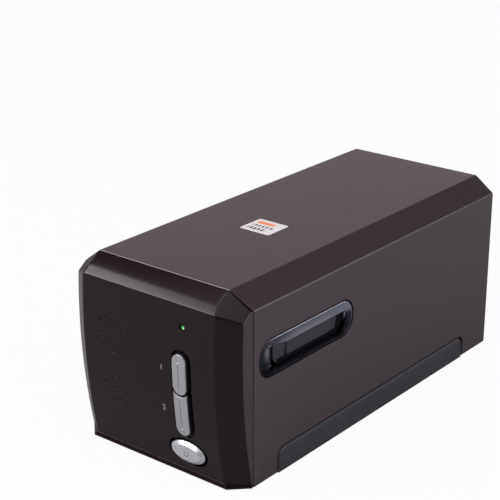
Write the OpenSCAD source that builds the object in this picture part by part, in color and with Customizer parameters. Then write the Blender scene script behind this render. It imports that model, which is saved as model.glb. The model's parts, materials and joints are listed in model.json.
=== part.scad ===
// Film negative scanner. A wrap-around cover and a faceted front panel stand on a base tray. A film holder
// passes through the slots in both sides, and a carriage with lamp, mirror, lens and sensor scans it.
// The front panel faces -Y and +Z is up. The origin is the centre of the footprint, on the surface.

/* [Casing] */
// Width across the cover
body_w = 124; // [120:1:132]
// Depth from the front panel to the rear edge of the cover
body_d = 272; // [270:1:290]
// Height with the rubber feet
body_h = 118; // [114:1:128]
// Wall thickness of the casing mouldings
wall = 2.5; // [2.2:0.1:3]
// Width of the chamfer along each top edge
chamfer_w = 13.5; // [11:0.5:16]
// Height of the chamfer along each top edge
chamfer_h = 10; // [8:0.5:11]
// Depth of the front panel moulding
panel_d = 18; // [17:0.5:20]
// Width of the seam between front panel and cover
seam_w = 0.5; // [0.3:0.1:0.8]
// Clearance between mouldings that fit into each other
fit_gap = 0.3; // [0.2:0.05:0.4]

/* [Front panel facets] */
// Width of the front face between its side bevels
face_w = 98.8; // [92:1:104]
// Radius of the front face's upright curve
face_r = 380; // [340:10:460]
// Height of the most forward line of the front face
face_apex_z = 80; // [70:1:90]
// Setback of the side bevels
side_bevel_d = 9; // [7:0.5:11]
// Height of the top bevel
top_bevel_h = 10.5; // [9:0.5:12]
// Setback of the top bevel
top_bevel_d = 14.1; // [12:0.5:16]
// Drop of the corner facets below the top
corner_drop = 14.8; // [13:0.5:17]
// Height of the bevel along the bottom of the front face
sill_bevel_h = 2.6; // [2:0.1:3.4]

/* [Front panel controls] */
// Distance of the scan buttons from the centre line
key_x = 25; // [23:0.5:27]
// Width of a scan button
key_w = 9.7; // [8.5:0.1:11]
// Top of the upper scan button
key_top_z = 79; // [76:0.5:83]
// Lowest point of the upper scan button, where the lower one starts
key_split_z = 54.2; // [50:0.5:58]
// Bottom of the lower scan button
key_bottom_z = 28; // [26:0.5:31]
// How far the buttons stand out of the front face
key_proud = 2; // [1.4:0.1:2.6]
// Travel of the scan buttons
key_travel = 1.2; // [0.8:0.1:1.4]
// Gap between the scan buttons
key_gap = 0.8; // [0.6:0.1:1.2]
// Width of the recess round the scan buttons
recess_margin = 2.1; // [1.4:0.1:2.6]
// Depth of the recesses under the front face
recess_d = 3; // [2.4:0.1:3.4]
// Width of the oval power button
power_w = 25; // [22:0.5:27]
// Height of the oval power button
power_h = 13.6; // [12:0.2:14.6]
// Height of the power button's centre
power_z = 16; // [15:0.5:17]
// Travel of the power button
power_travel = 1.4; // [0.8:0.1:1.6]
// Height of the status light
light_z = 95; // [92:0.5:97]
// Radius of the status light's hole
light_r = 2; // [1.6:0.1:2.4]
// Spacing of the dimples in the front face
dimple_pitch = 7.9; // [7.4:0.1:8.1]
// Radius of a dimple
dimple_r = 0.85; // [0.6:0.05:1.2]

/* [Film holder slots] */
// Distance of the slots behind the front face
slot_setback = 24; // [22:0.5:26]
// Length of a slot's surround
slot_len = 87; // [84:0.5:90]
// Height of a slot's surround
slot_h = 21.4; // [20:0.2:23]
// Corner radius of a slot's surround
slot_r = 9.5; // [8:0.5:10]
// Bottom of a slot's surround above the table
slot_z = 64.6; // [62:0.2:67]
// Depth of the sloped surround
surround_d = 4.5; // [4:0.1:5]
// Length of the slope at the front end of a slot
front_slope = 17; // [14:0.5:20]
// Height of the slope above the opening
top_slope = 8.2; // [7:0.2:9]
// Width of the thin lip below and behind the opening
lip = 0.8; // [0.6:0.1:1.2]
// Thickness of a dust door
door_t = 1.5; // [1.2:0.1:1.8]
// Radius of the door hinge pins
hinge_pin_r = 1; // [0.8:0.1:1.1]

/* [Feet and label] */
// Length of the rubber foot strips
foot_len = 200; // [180:5:210]
// Distance from the front face to the foot strips
foot_setback = 41; // [36:1:48]
// Height of the foot strips on the sides
foot_h = 15; // [12:0.5:17]
// How far the feet lift the casing
foot_drop = 1.6; // [1.2:0.1:2]
// How far the foot strips stand out of the sides
foot_proud = 0.6; // [0.4:0.1:1]
// Width of the foot strips under the casing
foot_under = 5; // [4:0.5:6]
// Width of the square label
label_w = 22; // [18:1:26]
// Distance from the front face to the label's centre
label_setback = 103.5; // [95:1:115]

/* [Scan mechanism] */
// Travel of the carriage
scan_travel = 30; // [26:1:31]
// Radius of the guide rods
rod_r = 3; // [2.5:0.1:3.2]
// Distance of the guide rods from the sides of the cover
rod_inset = 24; // [23:0.5:25]
// Radius of the belt's pitch line
belt_r = 5.9; // [5.6:0.1:6.2]
// Radius of the lens barrel
lens_r = 11; // [9:0.5:12]
// Radius of the stepper motor
motor_r = 17.5; // [15:0.5:18]
// Sheet thickness of the metal brackets
sheet_t = 2; // [1.5:0.1:2.2]
// Radial running clearance of rods, shafts and pins
run_gap = 0.05; // [0.03:0.01:0.08]

/* [Hidden] */
$fn = 96;

// Places of the casing. The buttons stand out in front, so the origin is at the middle of both together.
front_y = -(body_d - key_proud) / 2;
rear_y = front_y + body_d;
seam_y = front_y + panel_d;
base_z = foot_drop;
tray_top = base_z + wall;
side_x = body_w / 2;
inner_x = side_x - wall;
rear_inset = 1;
rear_in_y = rear_y - rear_inset - wall;
chamfer_normal = [chamfer_h, chamfer_w] / norm([chamfer_h, chamfer_w]);
face_top_z = body_h - top_bevel_h;
top_edge_y = front_y + top_bevel_d;
corner_z = body_h - corner_drop;
bevel_angle = atan2(side_bevel_d, side_x - face_w / 2);
tongue_t = 1.6;
tongue_len = 3;
tongue_back = 3;
tongue_z = base_z + foot_h;
foot_r = 6;
foot_inlay = 1;
label_x = 1.5;
label_t = 0.15;
label_trim = 1;
huge = 4 * body_d;
arc_fn = 256;

// Screws
screw_r = 1.2;
screw_hole_r = 1.25;
screw_free_r = 1.6;
screw_head_r = 2.7;
screw_head_h = 1.4;
screw_len = 8;
screw_hole_len = 9;
pocket_h = 1.5;
small_head_r = 2.1;
small_head_h = 1.2;
pillar_r = 3;
pilot_r = 1;
board_hole_r = 1.3;
board_screw_r = 0.95;
board_head_r = 2;
lug_w = 9;
lug_d = 12;
lug_h = 10;
panel_lug_out = 22.5;
panel_lug_x = key_x + panel_lug_out;
panel_lug_w = 9;
panel_lug_h = 8;
panel_lug_reach = 8;
panel_lug_screw_y = seam_y + panel_lug_reach / 2;
cover_lug_back = [126, 70];
cover_lug_y = [seam_y + panel_lug_reach + lug_d / 2, rear_y - cover_lug_back[0], rear_y - cover_lug_back[1]];
rear_lug_in = 8;
rear_lug_d = 8;
rear_lug_h = 6;
rear_lug_x = inner_x - rear_lug_in;
rear_lug_z = tray_top + rear_lug_h;
part_gap = 1;

// Controls
floor_t = 1.6;
panel_board_t = 1.6;
panel_board_half = 17;
panel_board_in = 3.5;
panel_board_over = 7;
panel_board_under = 4;
panel_board_x = [key_x - panel_board_half, key_x + panel_board_half];
panel_board_z = [tray_top + panel_board_under, light_z + panel_board_over];
panel_screw_x = [panel_board_x[0] + panel_board_in, panel_board_x[1] - panel_board_in];
panel_screw_z = [key_bottom_z + 2.5, light_z - 6];
switch_size = 6;
switch_h = 3.5;
plunger_r = 1.7;
plunger_h = 0.5;
press_gap = 0.2;
rim_r = 0.8;
rim_steps = 3;
ear_w = 1.6;
ear_t = 1.6;
key_ear_h = 8;
power_ear_h = 6;
stem_r = 1.6;
key_root = 1;
line_w = 0.5;
line_len = 18;
line_depth = 0.3;
power_margin = 1.6;
light_x = key_x + 1;
light_set = 0.5;
led_t = 1.1;
led_size = [3.2, 1.6];
dimple_depth = 1.2;
upper_key_z = (key_top_z + key_split_z) / 2;
lower_key_z = (key_split_z + key_bottom_z) / 2;
dimple_columns = [[-35, 90.9, 8], [-27, 88.6, 9], [-18.6, 87, 9]];

// Film holder slots
slot_y0 = front_y + slot_setback;
slot_y1 = slot_y0 + slot_len;
open_y0 = slot_y0 + front_slope;
open_y1 = slot_y1 - lip;
open_z0 = slot_z + lip;
open_z1 = slot_z + slot_h - top_slope;
mouth_x = side_x - surround_d;
slot_gap = 0.15;
chamber_d = 10;
chamber_over = 2.8;
chamber_x = side_x - chamber_d;
chamber_y1 = open_y1 - 0.7;
chamber_z1 = open_z1 + chamber_over;
bezel_wall = 2;
bezel_end = 4;
bezel_flange = 1.5;
mouth_r = 3;
hinge_set = 6.8;
hinge_x = side_x - hinge_set;
hinge_z = open_z1 + 0.4;
knuckle_r = hinge_pin_r + 0.8;
pin_end = 2.7;
pin_grip = 0.03;
pin_play = 0.06;
door_gap = 0.6;
pad_in = [11.5, 15.5];
pad_proud = 0.7;
pad_drop = [1.6, 4.8];
slit_in = [1.4, 0.6];
slit_h = 6;
front_notch = 3.4;
door_angle = 75;
tunnel_x = chamber_x - fit_gap;
tunnel_wall = 2;
tunnel_z1 = chamber_z1 - 1.2;
film_y = (open_y0 + chamber_y1) / 2;
gate_y = scan_travel / 2 + 2;
leg_w = 6;
leg_d = 7;
leg_x = tunnel_x - leg_w / 2;

// Drive
rod_x = side_x - rod_inset;
rod_end = 1.5;
motor_h = 20;
motor_clear = 22;
motor_margin = 1.5;
motor_flange = 5;
motor_back = 4;
motor_half = motor_r + motor_margin;
motor_y = rear_in_y - motor_back - motor_flange - motor_r;
motor_z0 = tray_top + motor_clear;
motor_screw_y = motor_r + 2.7;
motor_ear_half = 4;
motor_ear_t = 1;
motor_hub_r = 6;
shaft_r = 2.5;
shaft_bore_depth = 11;
bracket_end = 10;
bracket_over = 12;
bracket_x = rod_x + bracket_end;
bracket_foot_w = 12;
bracket_foot_d = 9;
bracket_window = [20, 10];
belt_window = [9, 3];
front_foot_x = -8;
rear_foot_x = 16;
front_feet_x = [front_foot_x, bracket_x - bracket_foot_w / 2];
rear_feet_x = [-rear_foot_x, rear_foot_x];
front_bracket_y = seam_y + panel_lug_reach + part_gap;
rear_bracket_y = motor_y - motor_r - motor_flange - part_gap - rod_end - sheet_t;
idler_set = 14;
idler_y = front_bracket_y + sheet_t + idler_set;
idler_pin_r = 2;
idler_hub_w = 3;
idler_cap_w = 1.5;
idler_cap_t = 1.5;
belt_t = 1.2;
belt_w = 6;
belt_clear = 9;
belt_z0 = tray_top + belt_clear;
belt_z1 = belt_z0 + belt_w;
belt_x = rod_x;
pulley_r = belt_r - belt_t / 2 - fit_gap;
pulley_end = 1.5;
flange_r = pulley_r + 2.2;
flange_t = 1;

// Carriage
line_y = film_y - scan_travel / 2;
carriage_nose = 16;
carriage_clear = 20;
tunnel_clear = 3.4;
stop_gap = 3.15;
boss_r = 6.5;
boss_gap = 5;
board_t = 1.6;
carriage_x = rod_x - boss_r - boss_gap;
carriage_y0 = line_y - carriage_nose;
carriage_y1 = rear_bracket_y - scan_travel - board_t - stop_gap;
carriage_z0 = tray_top + carriage_clear;
carriage_z1 = open_z0 - tunnel_wall - tunnel_clear;
shell_t = 2.5;
lid_t = 1.6;
axis_h = 17;
rod_h = 6;
axis_z = carriage_z0 + axis_h;
rod_z = carriage_z0 + rod_h;
bracket_h = carriage_clear + rod_h + bracket_over;
boss_arm = [3, 4];
bushing_r = 4.5;
bushing_len = 16;
bushing_in = [6, 20];
bushing_y = [line_y + bushing_in[0], carriage_y1 - bushing_in[1]];
fork_in = 45;
fork_y = carriage_y1 - fork_in;
fork_half = 6;
fork_wall = 3;
fork_end = 4;
lens_dist = 55;
lens_wall_y = line_y + lens_dist;
lens_wall_t = 4;
lens_len = 24;
lens_front = 6;
lens_flange = 8;
lens_flange_w = 1.5;
barrel_t = 2;
glass_t = 3;
mirror_t = 2;
sensor_in = 4.5;
sensor_h = 10;
sensor_t = 3.5;
gate_in = 6.5;
gate_x = carriage_x - gate_in;
light_gap = 5;
column_gap = 3.5;
column_y0 = chamber_y1 + tunnel_wall + column_gap;
column_d = 12;
arm_x = carriage_x - shell_t;
lamp_gap = 12.5;
arm_z0 = tunnel_z1 + tunnel_wall + lamp_gap;
arm_t = 3.5;
lamp_half = 9;
lamp_wall = 2;
lamp_drop = 10;
lamp_chip = 3;
lamp_chip_pitch = (arm_x - lamp_wall) / 4;
clamp_out = 5;
clamp_y0 = fork_y - clamp_out;
clamp_len = 12;
clamp_half = 3.5;
clamp_bite = 0.35;

// Main board
board_clear = 5;
board_side = 16.5;
board_back = 2.5;
board_len = 39.5;
board_gap = 5;
board_z = tray_top + board_clear;
board_x = [-belt_x + motor_half + board_gap, inner_x - board_side];
board_y = [rear_in_y - board_back - board_len, rear_in_y - board_back];
board_screw_in = 4;
board_screw_back = 18;
usb_in = 15;
usb_x = board_x[1] - usb_in;
usb_size = [12, 16.5, 11];
usb_shell = 1.5;
usb_depth = 9;
usb_core = [5.6, 3.2];
inlet_in = 18;
inlet_x = board_x[0] + inlet_in;
inlet_size = [9, 14, 11];
inlet_r = 3;
inlet_pin_r = 1;
inlet_depth = 10;
chip_sizes = [[14, 12, 2], [10, 5, 1.5], [7, 7, 1.5]];
chip_in = [18, 21, 6];
chip_back = [8, 2, 10];
chip_places = [[board_x[0] + chip_in[0], chip_back[0]], [board_x[1] - chip_in[1], chip_back[1]],
    [board_x[0] + chip_in[2], chip_back[2]]];
socket_y = rear_y - rear_inset;

function face_y(z, t = 0) = front_y + face_r - sqrt(pow(face_r - t, 2) - pow(z - face_apex_z, 2));

// ---- helpers ----

module block(low, high) {
    translate(low) cube(high - low);
}

// A profile drawn in X and Z, extruded from y0 to y1
module along_y(y0, y1) {
    translate([0, y1, 0]) rotate([90, 0, 0]) linear_extrude(y1 - y0) children();
}

// A profile drawn in Y and Z, extruded from x0 to x1
module along_x(x0, x1) {
    translate([x0, 0, 0]) rotate([90, 0, 90]) linear_extrude(x1 - x0) children();
}

module rod_y(x, z, r, y0, y1) {
    translate([x, y0, z]) rotate([-90, 0, 0]) cylinder(r = r, h = y1 - y0);
}

module rod_z(x, y, r, z0, z1) {
    translate([x, y, z0]) cylinder(r = r, h = z1 - z0);
}

// Draws for the right side as it is, and for the left side mirrored
module on_side(s) {
    mirror([s < 0 ? 1 : 0, 0, 0]) children();
}

// Everything behind the plane through p with outward normal n, moved in by t
module behind(p, n, t) {
    unit = n / norm(n);
    translate(p - t * unit)
        rotate([0, acos(unit[2]), atan2(unit[1], unit[0])])
            translate([-huge / 2, -huge / 2, -huge]) cube(huge);
}

module rounded(low, high, r) {
    translate([low[0] + r, low[1]]) square([high[0] - low[0] - 2 * r, high[1] - low[1]]);
    translate([low[0], low[1] + r]) square([high[0] - low[0], high[1] - low[1] - 2 * r]);
    for (x = [low[0] + r, high[0] - r], y = [low[1] + r, high[1] - r]) translate([x, y]) circle(r);
}

// Upright slot with round ends
module pill(x, z0, z1, r) {
    translate([x - r, z0 + r]) square([2 * r, z1 - z0 - 2 * r]);
    for (z = [z0 + r, z1 - r]) translate([x, z]) circle(r);
}

module oval(w, h) {
    polygon([for (a = [0:5:355]) [w / 2 * cos(a), h / 2 * sin(a)]]);
}

module screw_down(x, y, z, len) {
    rod_z(x, y, screw_head_r, z, z + screw_head_h);
    rod_z(x, y, screw_r, z - len, z + screw_head_h / 2);
}

module screw_up(x, y, z, len) {
    rod_z(x, y, screw_head_r, z - screw_head_h, z);
    rod_z(x, y, screw_r, z - screw_head_h / 2, z + len);
}

// ---- casing ----

// Cross-section of the casing, moved in by t, down to floor_z
module casing_outline(t, floor_z) {
    x = side_x - t;
    top = body_h - t;
    shoulder = body_h - chamfer_h - t * (1 - chamfer_normal[0]) / chamfer_normal[1];
    ridge = side_x - chamfer_w - t * (1 - chamfer_normal[1]) / chamfer_normal[0];
    polygon([[-x, floor_z], [x, floor_z], [x, shoulder], [ridge, top], [-ridge, top], [-x, shoulder]]);
}

// The drum whose front is the curved face, moved in by t
module face_drum(t) {
    translate([0, front_y + face_r, face_apex_z])
        rotate([0, 90, 0]) cylinder(r = face_r - t, h = 2 * body_w, center = true, $fn = arc_fn);
}

// The slanted drum whose front is a side bevel, moved in by t
module bevel_drum(t) {
    r = face_r / cos(bevel_angle);
    out = [sin(bevel_angle), -cos(bevel_angle), 0];
    translate([face_w / 2, front_y, face_apex_z] - r * out)
        rotate([0, 90, bevel_angle]) cylinder(r = r - t, h = huge, center = true, $fn = arc_fn);
}

module corner_facet(t) {
    ridge = [side_x - chamfer_w, top_edge_y, body_h];
    brow = [face_w / 2, face_y(face_top_z), face_top_z];
    cheek = [side_x, face_y(corner_z) + side_bevel_d, corner_z];
    behind(ridge, cross(brow - ridge, cheek - ridge), t);
}

module front_block(t, back_y) {
    intersection() {
        along_y(front_y - 1, back_y) casing_outline(t, base_z + t);
        face_drum(t);
        bevel_drum(t);
        mirror([1, 0, 0]) bevel_drum(t);
        behind([0, top_edge_y, body_h], [0, face_top_z - body_h, top_edge_y - face_y(face_top_z)], t);
        corner_facet(t);
        mirror([1, 0, 0]) corner_facet(t);
        behind([0, face_y(base_z + sill_bevel_h), base_z + sill_bevel_h], [0, -1, -1], t);
    }
}

module recess_outline(grow) {
    pill(key_x, key_bottom_z - recess_margin - grow, key_top_z + recess_margin + grow,
        key_w / 2 + recess_margin + grow);
}

module power_outline(grow) {
    translate([key_x, power_z]) oval(power_w + 2 * grow, power_h + 2 * grow);
}

module scan_keys_outline(grow) {
    pill(key_x, key_bottom_z - grow, key_top_z + grow, key_w / 2 + grow);
}

// Cup behind the face that carries a recess's floor and walls
module recess_cup() {
    difference() {
        intersection() {
            along_y(front_y - 1, seam_y) children();
            face_drum(floor_t / 2);
        }
        face_drum(recess_d + floor_t);
    }
}

// Space of a recess, from the face down to its floor
module recess_space() {
    difference() {
        along_y(front_y - 5, seam_y) children();
        face_drum(recess_d);
    }
}

module panel_tongue() {
    difference() {
        union() {
            along_y(seam_y - tongue_back, seam_y - seam_w / 2) casing_outline(wall / 2, tongue_z);
            along_y(seam_y - tongue_back, seam_y + tongue_len) casing_outline(wall + fit_gap, tongue_z);
        }
        along_y(seam_y - tongue_back - 1, seam_y + tongue_len + 1)
            casing_outline(wall + fit_gap + tongue_t, tongue_z - 1);
    }
}

module panel_lug(x) {
    half = panel_lug_w / 2;
    difference() {
        union() {
            block([x - half, seam_y - panel_lug_reach, tray_top - wall / 2],
                [x + half, seam_y - seam_w / 2, tray_top + panel_lug_h]);
            block([x - half, seam_y - panel_lug_reach, tray_top],
                [x + half, seam_y + panel_lug_reach, tray_top + panel_lug_h]);
        }
        rod_z(x, panel_lug_screw_y, screw_hole_r, tray_top - 1, tray_top + panel_lug_h - part_gap);
    }
}

module front_panel() {
    color("#332b2c") difference() {
        union() {
            difference() {
                front_block(0, seam_y - seam_w / 2);
                front_block(wall, seam_y + 1);
            }
            recess_cup() recess_outline(floor_t);
            recess_cup() power_outline(power_margin + floor_t);
            for (x = panel_screw_x, z = panel_screw_z) rod_y(x, z, pillar_r, face_y(z) + wall / 2, seam_y);
            panel_tongue();
            for (s = [-1, 1]) panel_lug(s * panel_lug_x);
        }
        recess_space() recess_outline(0);
        recess_space() power_outline(power_margin);
        along_y(front_y, seam_y - 1) scan_keys_outline(fit_gap);
        along_y(front_y, seam_y - 1) power_outline(fit_gap);
        rod_y(light_x, light_z, light_r, front_y - 1, seam_y - 1);
        for (x = panel_screw_x, z = panel_screw_z) rod_y(x, z, pilot_r, seam_y - screw_len, seam_y + 1);
        for (column = dimple_columns, i = [0:column[2] - 1]) {
            z = column[1] - i * dimple_pitch;
            rod_y(column[0], z, dimple_r, front_y - 1, face_y(z) + dimple_depth);
        }
    }
}

module cover_lug(y) {
    difference() {
        block([inner_x - lug_w, y - lug_d / 2, tray_top],
            [inner_x + wall / 2, y + lug_d / 2, tray_top + lug_h]);
        rod_z(inner_x - lug_w / 2, y, screw_hole_r, tray_top - 1, tray_top + lug_h - part_gap);
    }
}

module slot_outline(grow) {
    rounded([slot_y0 - grow, slot_z - grow], [slot_y1 + grow, slot_z + slot_h + grow], slot_r + grow);
}

module foot_outline(grow) {
    y0 = front_y + foot_setback - grow;
    y1 = front_y + foot_setback + foot_len + grow;
    r = foot_r + grow;
    translate([y0 + r, 0]) square([y1 - y0 - 2 * r, foot_h + grow]);
    translate([y0, 0]) square([y1 - y0, foot_h + grow - r]);
    for (y = [y0 + r, y1 - r]) translate([y, foot_h + grow - r]) circle(r);
}

module top_cover() {
    color("#4e464b") difference() {
        union() {
            difference() {
                along_y(seam_y + seam_w / 2, rear_y) casing_outline(0, base_z);
                along_y(seam_y - 1, rear_y + 1) casing_outline(wall, base_z - 1);
            }
            for (s = [-1, 1], y = cover_lug_y) on_side(s) cover_lug(y);
        }
        for (s = [-1, 1]) on_side(s) {
            along_x(inner_x - 1, side_x + 1) slot_outline(slot_gap);
            along_x(side_x - foot_inlay, side_x + 1) foot_outline(slot_gap);
        }
    }
}

module rear_panel() {
    color("#3a3335") difference() {
        along_y(rear_in_y, rear_in_y + wall) casing_outline(wall + fit_gap, base_z);
        block([usb_x - usb_size[0] / 2 - fit_gap, rear_in_y - 1, board_z + board_t - fit_gap],
            [usb_x + usb_size[0] / 2 + fit_gap, rear_y, board_z + board_t + usb_size[2] + fit_gap]);
        block([inlet_x - inlet_size[0] / 2 - fit_gap, rear_in_y - 1, board_z + board_t - fit_gap],
            [inlet_x + inlet_size[0] / 2 + fit_gap, rear_y, board_z + board_t + inlet_size[2] + fit_gap]);
        for (s = [-1, 1]) rod_y(s * rear_lug_x, rear_lug_z, screw_free_r, rear_in_y - 1, rear_y);
    }
}

module case_screw_places() {
    for (s = [-1, 1]) {
        for (y = cover_lug_y) translate([s * (inner_x - lug_w / 2), y, 0]) children();
        translate([s * panel_lug_x, panel_lug_screw_y, 0]) children();
    }
}

module base_tray() {
    x = inner_x - fit_gap;
    color("#2c2829") difference() {
        union() {
            block([-x, seam_y + seam_w / 2, base_z], [x, rear_in_y - fit_gap, tray_top]);
            for (s = [-1, 1])
                block([s * rear_lug_x - rear_lug_d / 2, rear_in_y - rear_lug_d, tray_top - 1],
                    [s * rear_lug_x + rear_lug_d / 2, rear_in_y - fit_gap, rear_lug_z + rear_lug_d / 2]);
            board_screw_places() rod_z(0, 0, pillar_r, tray_top - 1, board_z);
        }
        case_screw_places() {
            rod_z(0, 0, screw_free_r, base_z - 1, tray_top + 1);
            rod_z(0, 0, screw_head_r + fit_gap, base_z - 1, base_z + pocket_h);
        }
        tunnel_leg_places() {
            rod_z(0, 0, screw_free_r, base_z - 1, tray_top + 1);
            rod_z(0, 0, screw_head_r + fit_gap, base_z - 1, base_z + pocket_h);
        }
        bracket_screw_places() rod_z(0, 0, screw_hole_r, base_z - 1, tray_top + 1);
        for (s = [-1, 1])
            rod_y(s * rear_lug_x, rear_lug_z, screw_hole_r, rear_in_y - rear_lug_d + part_gap, rear_in_y);
        board_screw_places() rod_z(0, 0, pilot_r, tray_top, board_z + 1);
    }
}

module foot_strip(s) {
    on_side(s) color("#2e3031") union() {
        intersection() {
            along_x(side_x - foot_inlay, side_x + foot_proud) foot_outline(0);
            block([0, -huge, 0], [huge, huge, huge]);
        }
        block([side_x + foot_proud - foot_under, front_y + foot_setback, 0],
            [side_x + foot_proud, front_y + foot_setback + foot_len, base_z]);
    }
}

module top_label() {
    half = label_w / 2;
    y = front_y + label_setback;
    color("#e8e4dc") block([label_x - half, y - half + label_trim, body_h],
        [label_x + half, y + half - label_trim, body_h + label_t]);
}

// ---- film holder slots ----

// Opening at the bottom of the sloped surround
module mouth_outline() {
    hull() {
        translate([open_y0, open_z0]) square([1, open_z1 - open_z0]);
        for (z = [open_z0 + slot_r - lip - mouth_r, open_z1 - mouth_r])
            translate([open_y1 - mouth_r, z]) circle(mouth_r, $fn = 32);
        translate([open_y1 - slot_r + lip, open_z0]) square([1, 1]);
    }
}

module slot_bezel(s) {
    on_side(s) color("#45454c") difference() {
        union() {
            along_x(inner_x - 1, side_x) slot_outline(0);
            block([chamber_x, open_y0 - bezel_end, open_z0 - bezel_wall],
                [inner_x - fit_gap, open_y1 + bezel_end, chamber_z1 + bezel_wall]);
            along_x(mouth_x - bezel_flange, inner_x - fit_gap) slot_outline(bezel_flange);
        }
        hull() {
            along_x(side_x, side_x + 0.1) slot_outline(-lip);
            along_x(mouth_x, mouth_x + 0.1) mouth_outline();
        }
        along_x(mouth_x - 3, mouth_x + 0.05) mouth_outline();
        block([chamber_x - 1, open_y0, open_z0], [mouth_x, chamber_y1, chamber_z1]);
        rod_y(hinge_x, hinge_z, hinge_pin_r + pin_grip, open_y0 - pin_end - fit_gap,
            chamber_y1 + pin_end + fit_gap);
    }
}

module hinge_pin(s) {
    on_side(s) color("silver") rod_y(hinge_x, hinge_z, hinge_pin_r, open_y0 - pin_end, chamber_y1 + pin_end);
}

// Dust door that hangs from its pin. Its leaf lies outside the pin on the right and inside it on the left,
// so that both can swing the way the film holder pushes them.
module dust_door(s) {
    y0 = open_y0 + door_gap;
    y1 = chamber_y1 - door_gap;
    z0 = open_z0 + door_gap;
    leaf_x = hinge_x + (s > 0 ? knuckle_r - door_t : -knuckle_r);
    pad_y = [y0 + pad_in[0], y1 - pad_in[1]];
    pad_z = open_z1 - (s > 0 ? pad_drop[0] : pad_drop[1]);
    on_side(s) color("#3c4046") difference() {
        union() {
            rod_y(hinge_x, hinge_z, knuckle_r, y0, y1);
            block([leaf_x, y0, z0], [leaf_x + door_t, y1, hinge_z]);
            block([leaf_x + door_t / 2, pad_y[0], z0], [leaf_x + door_t + pad_proud, pad_y[1], pad_z]);
        }
        rod_y(hinge_x, hinge_z, hinge_pin_r + pin_play, y0 - 1, y1 + 1);
        block([leaf_x - 1, pad_y[0] - slit_in[0], z0 - 1],
            [leaf_x + door_t + 1, pad_y[0] - slit_in[1], z0 + slit_h]);
        for (corner = [[y0, front_notch], [y1, slot_r - lip - door_gap]])
            translate([0, corner[0], z0]) rotate([45, 0, 0])
                block([leaf_x - 1, -corner[1] / sqrt(2), -corner[1] / sqrt(2)],
                    [leaf_x + door_t + 1, corner[1] / sqrt(2), corner[1] / sqrt(2)]);
    }
}

module tunnel_leg_places() {
    for (s = [-1, 1], y = [open_y0 - tunnel_wall + leg_d / 2, chamber_y1 + tunnel_wall - leg_d / 2])
        translate([s * leg_x, y, 0]) children();
}

module holder_tunnel() {
    color("#26282a") difference() {
        union() {
            block([-tunnel_x, open_y0 - tunnel_wall, open_z0 - tunnel_wall],
                [tunnel_x, chamber_y1 + tunnel_wall, tunnel_z1 + tunnel_wall]);
            tunnel_leg_places()
                block([-leg_w / 2, -leg_d / 2, tray_top], [leg_w / 2, leg_d / 2, open_z0 - tunnel_wall / 2]);
        }
        block([-tunnel_x - 1, open_y0, open_z0], [tunnel_x + 1, chamber_y1, tunnel_z1]);
        block([-gate_x, film_y - gate_y, open_z0 - tunnel_wall - 1],
            [gate_x, film_y + gate_y, tunnel_z1 + tunnel_wall + 1]);
        tunnel_leg_places() rod_z(0, 0, screw_hole_r, tray_top - 1, tray_top + screw_hole_len);
    }
}

// ---- controls ----

module key_outline(which, grow) {
    if (which == "upper") pill(key_x, key_split_z - grow, key_top_z + grow, key_w / 2 + grow);
    if (which == "lower") difference() {
        pill(key_x, key_bottom_z - grow, key_split_z + key_w / 2, key_w / 2 + grow);
        pill(key_x, key_split_z - key_gap + grow, key_top_z, key_w / 2 + key_gap - grow);
    }
    if (which == "power") power_outline(grow);
}

// A button's body, whose front follows the face and has a rounded rim
module key_body(which, back_y) {
    for (i = [0:rim_steps]) intersection() {
        along_y(front_y - 10, back_y) key_outline(which, -rim_r * (1 - cos(90 * i / rim_steps)));
        face_drum(rim_r * (1 - sin(90 * i / rim_steps)) - key_proud);
    }
}

module stem(z, travel) {
    rod_y(key_x, z, stem_r, face_y(z, recess_d + floor_t) + key_root / 2,
        seam_y - switch_h - plunger_h - travel - press_gap);
}

// Ears behind the panel that keep a button in
module ears(z, w, h) {
    y = face_y(z, recess_d + floor_t);
    intersection() {
        block([key_x - w / 2, y - key_root, z - h / 2], [key_x + w / 2, y + fit_gap + ear_t, z + h / 2]);
        face_drum(recess_d + floor_t + fit_gap);
    }
}

module scan_button(which, z) {
    back_y = face_y(z, recess_d + floor_t) + key_root;
    color("#b4b6ba") difference() {
        union() {
            key_body(which, back_y);
            ears(z, key_w + 2 * ear_w, key_ear_h);
            stem(z, key_travel);
        }
        difference() {
            block([key_x - line_w / 2, front_y - panel_d, z - line_len / 2],
                [key_x + line_w / 2, seam_y, z + line_len / 2]);
            face_drum(line_depth - key_proud);
        }
    }
}

module power_button() {
    back_y = face_y(power_z, recess_d + floor_t) + key_root;
    color("#bcbec2") union() {
        key_body("power", back_y);
        ears(power_z, power_w + 2 * ear_w, power_ear_h);
        stem(power_z, power_travel);
    }
}

module light_pipe() {
    color("#7fe08a")
        rod_y(light_x, light_z, light_r - 0.1, face_y(light_z) + light_set, seam_y - led_t - fit_gap);
}

module status_led() {
    color("#d9f5d0") block([light_x - led_size[0] / 2, seam_y - led_t, light_z - led_size[1] / 2],
        [light_x + led_size[0] / 2, seam_y, light_z + led_size[1] / 2]);
}

module panel_board() {
    color("#1f5a3a") difference() {
        block([panel_board_x[0], seam_y, panel_board_z[0]],
            [panel_board_x[1], seam_y + panel_board_t, panel_board_z[1]]);
        for (x = panel_screw_x, z = panel_screw_z)
            rod_y(x, z, board_hole_r, seam_y - 1, seam_y + panel_board_t + 1);
    }
}

module panel_switches() {
    half = switch_size / 2;
    color("#202022") for (z = [upper_key_z, lower_key_z, power_z]) {
        block([key_x - half, seam_y - switch_h, z - half], [key_x + half, seam_y, z + half]);
        rod_y(key_x, z, plunger_r, seam_y - switch_h - plunger_h, seam_y - switch_h / 2);
    }
}

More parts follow.
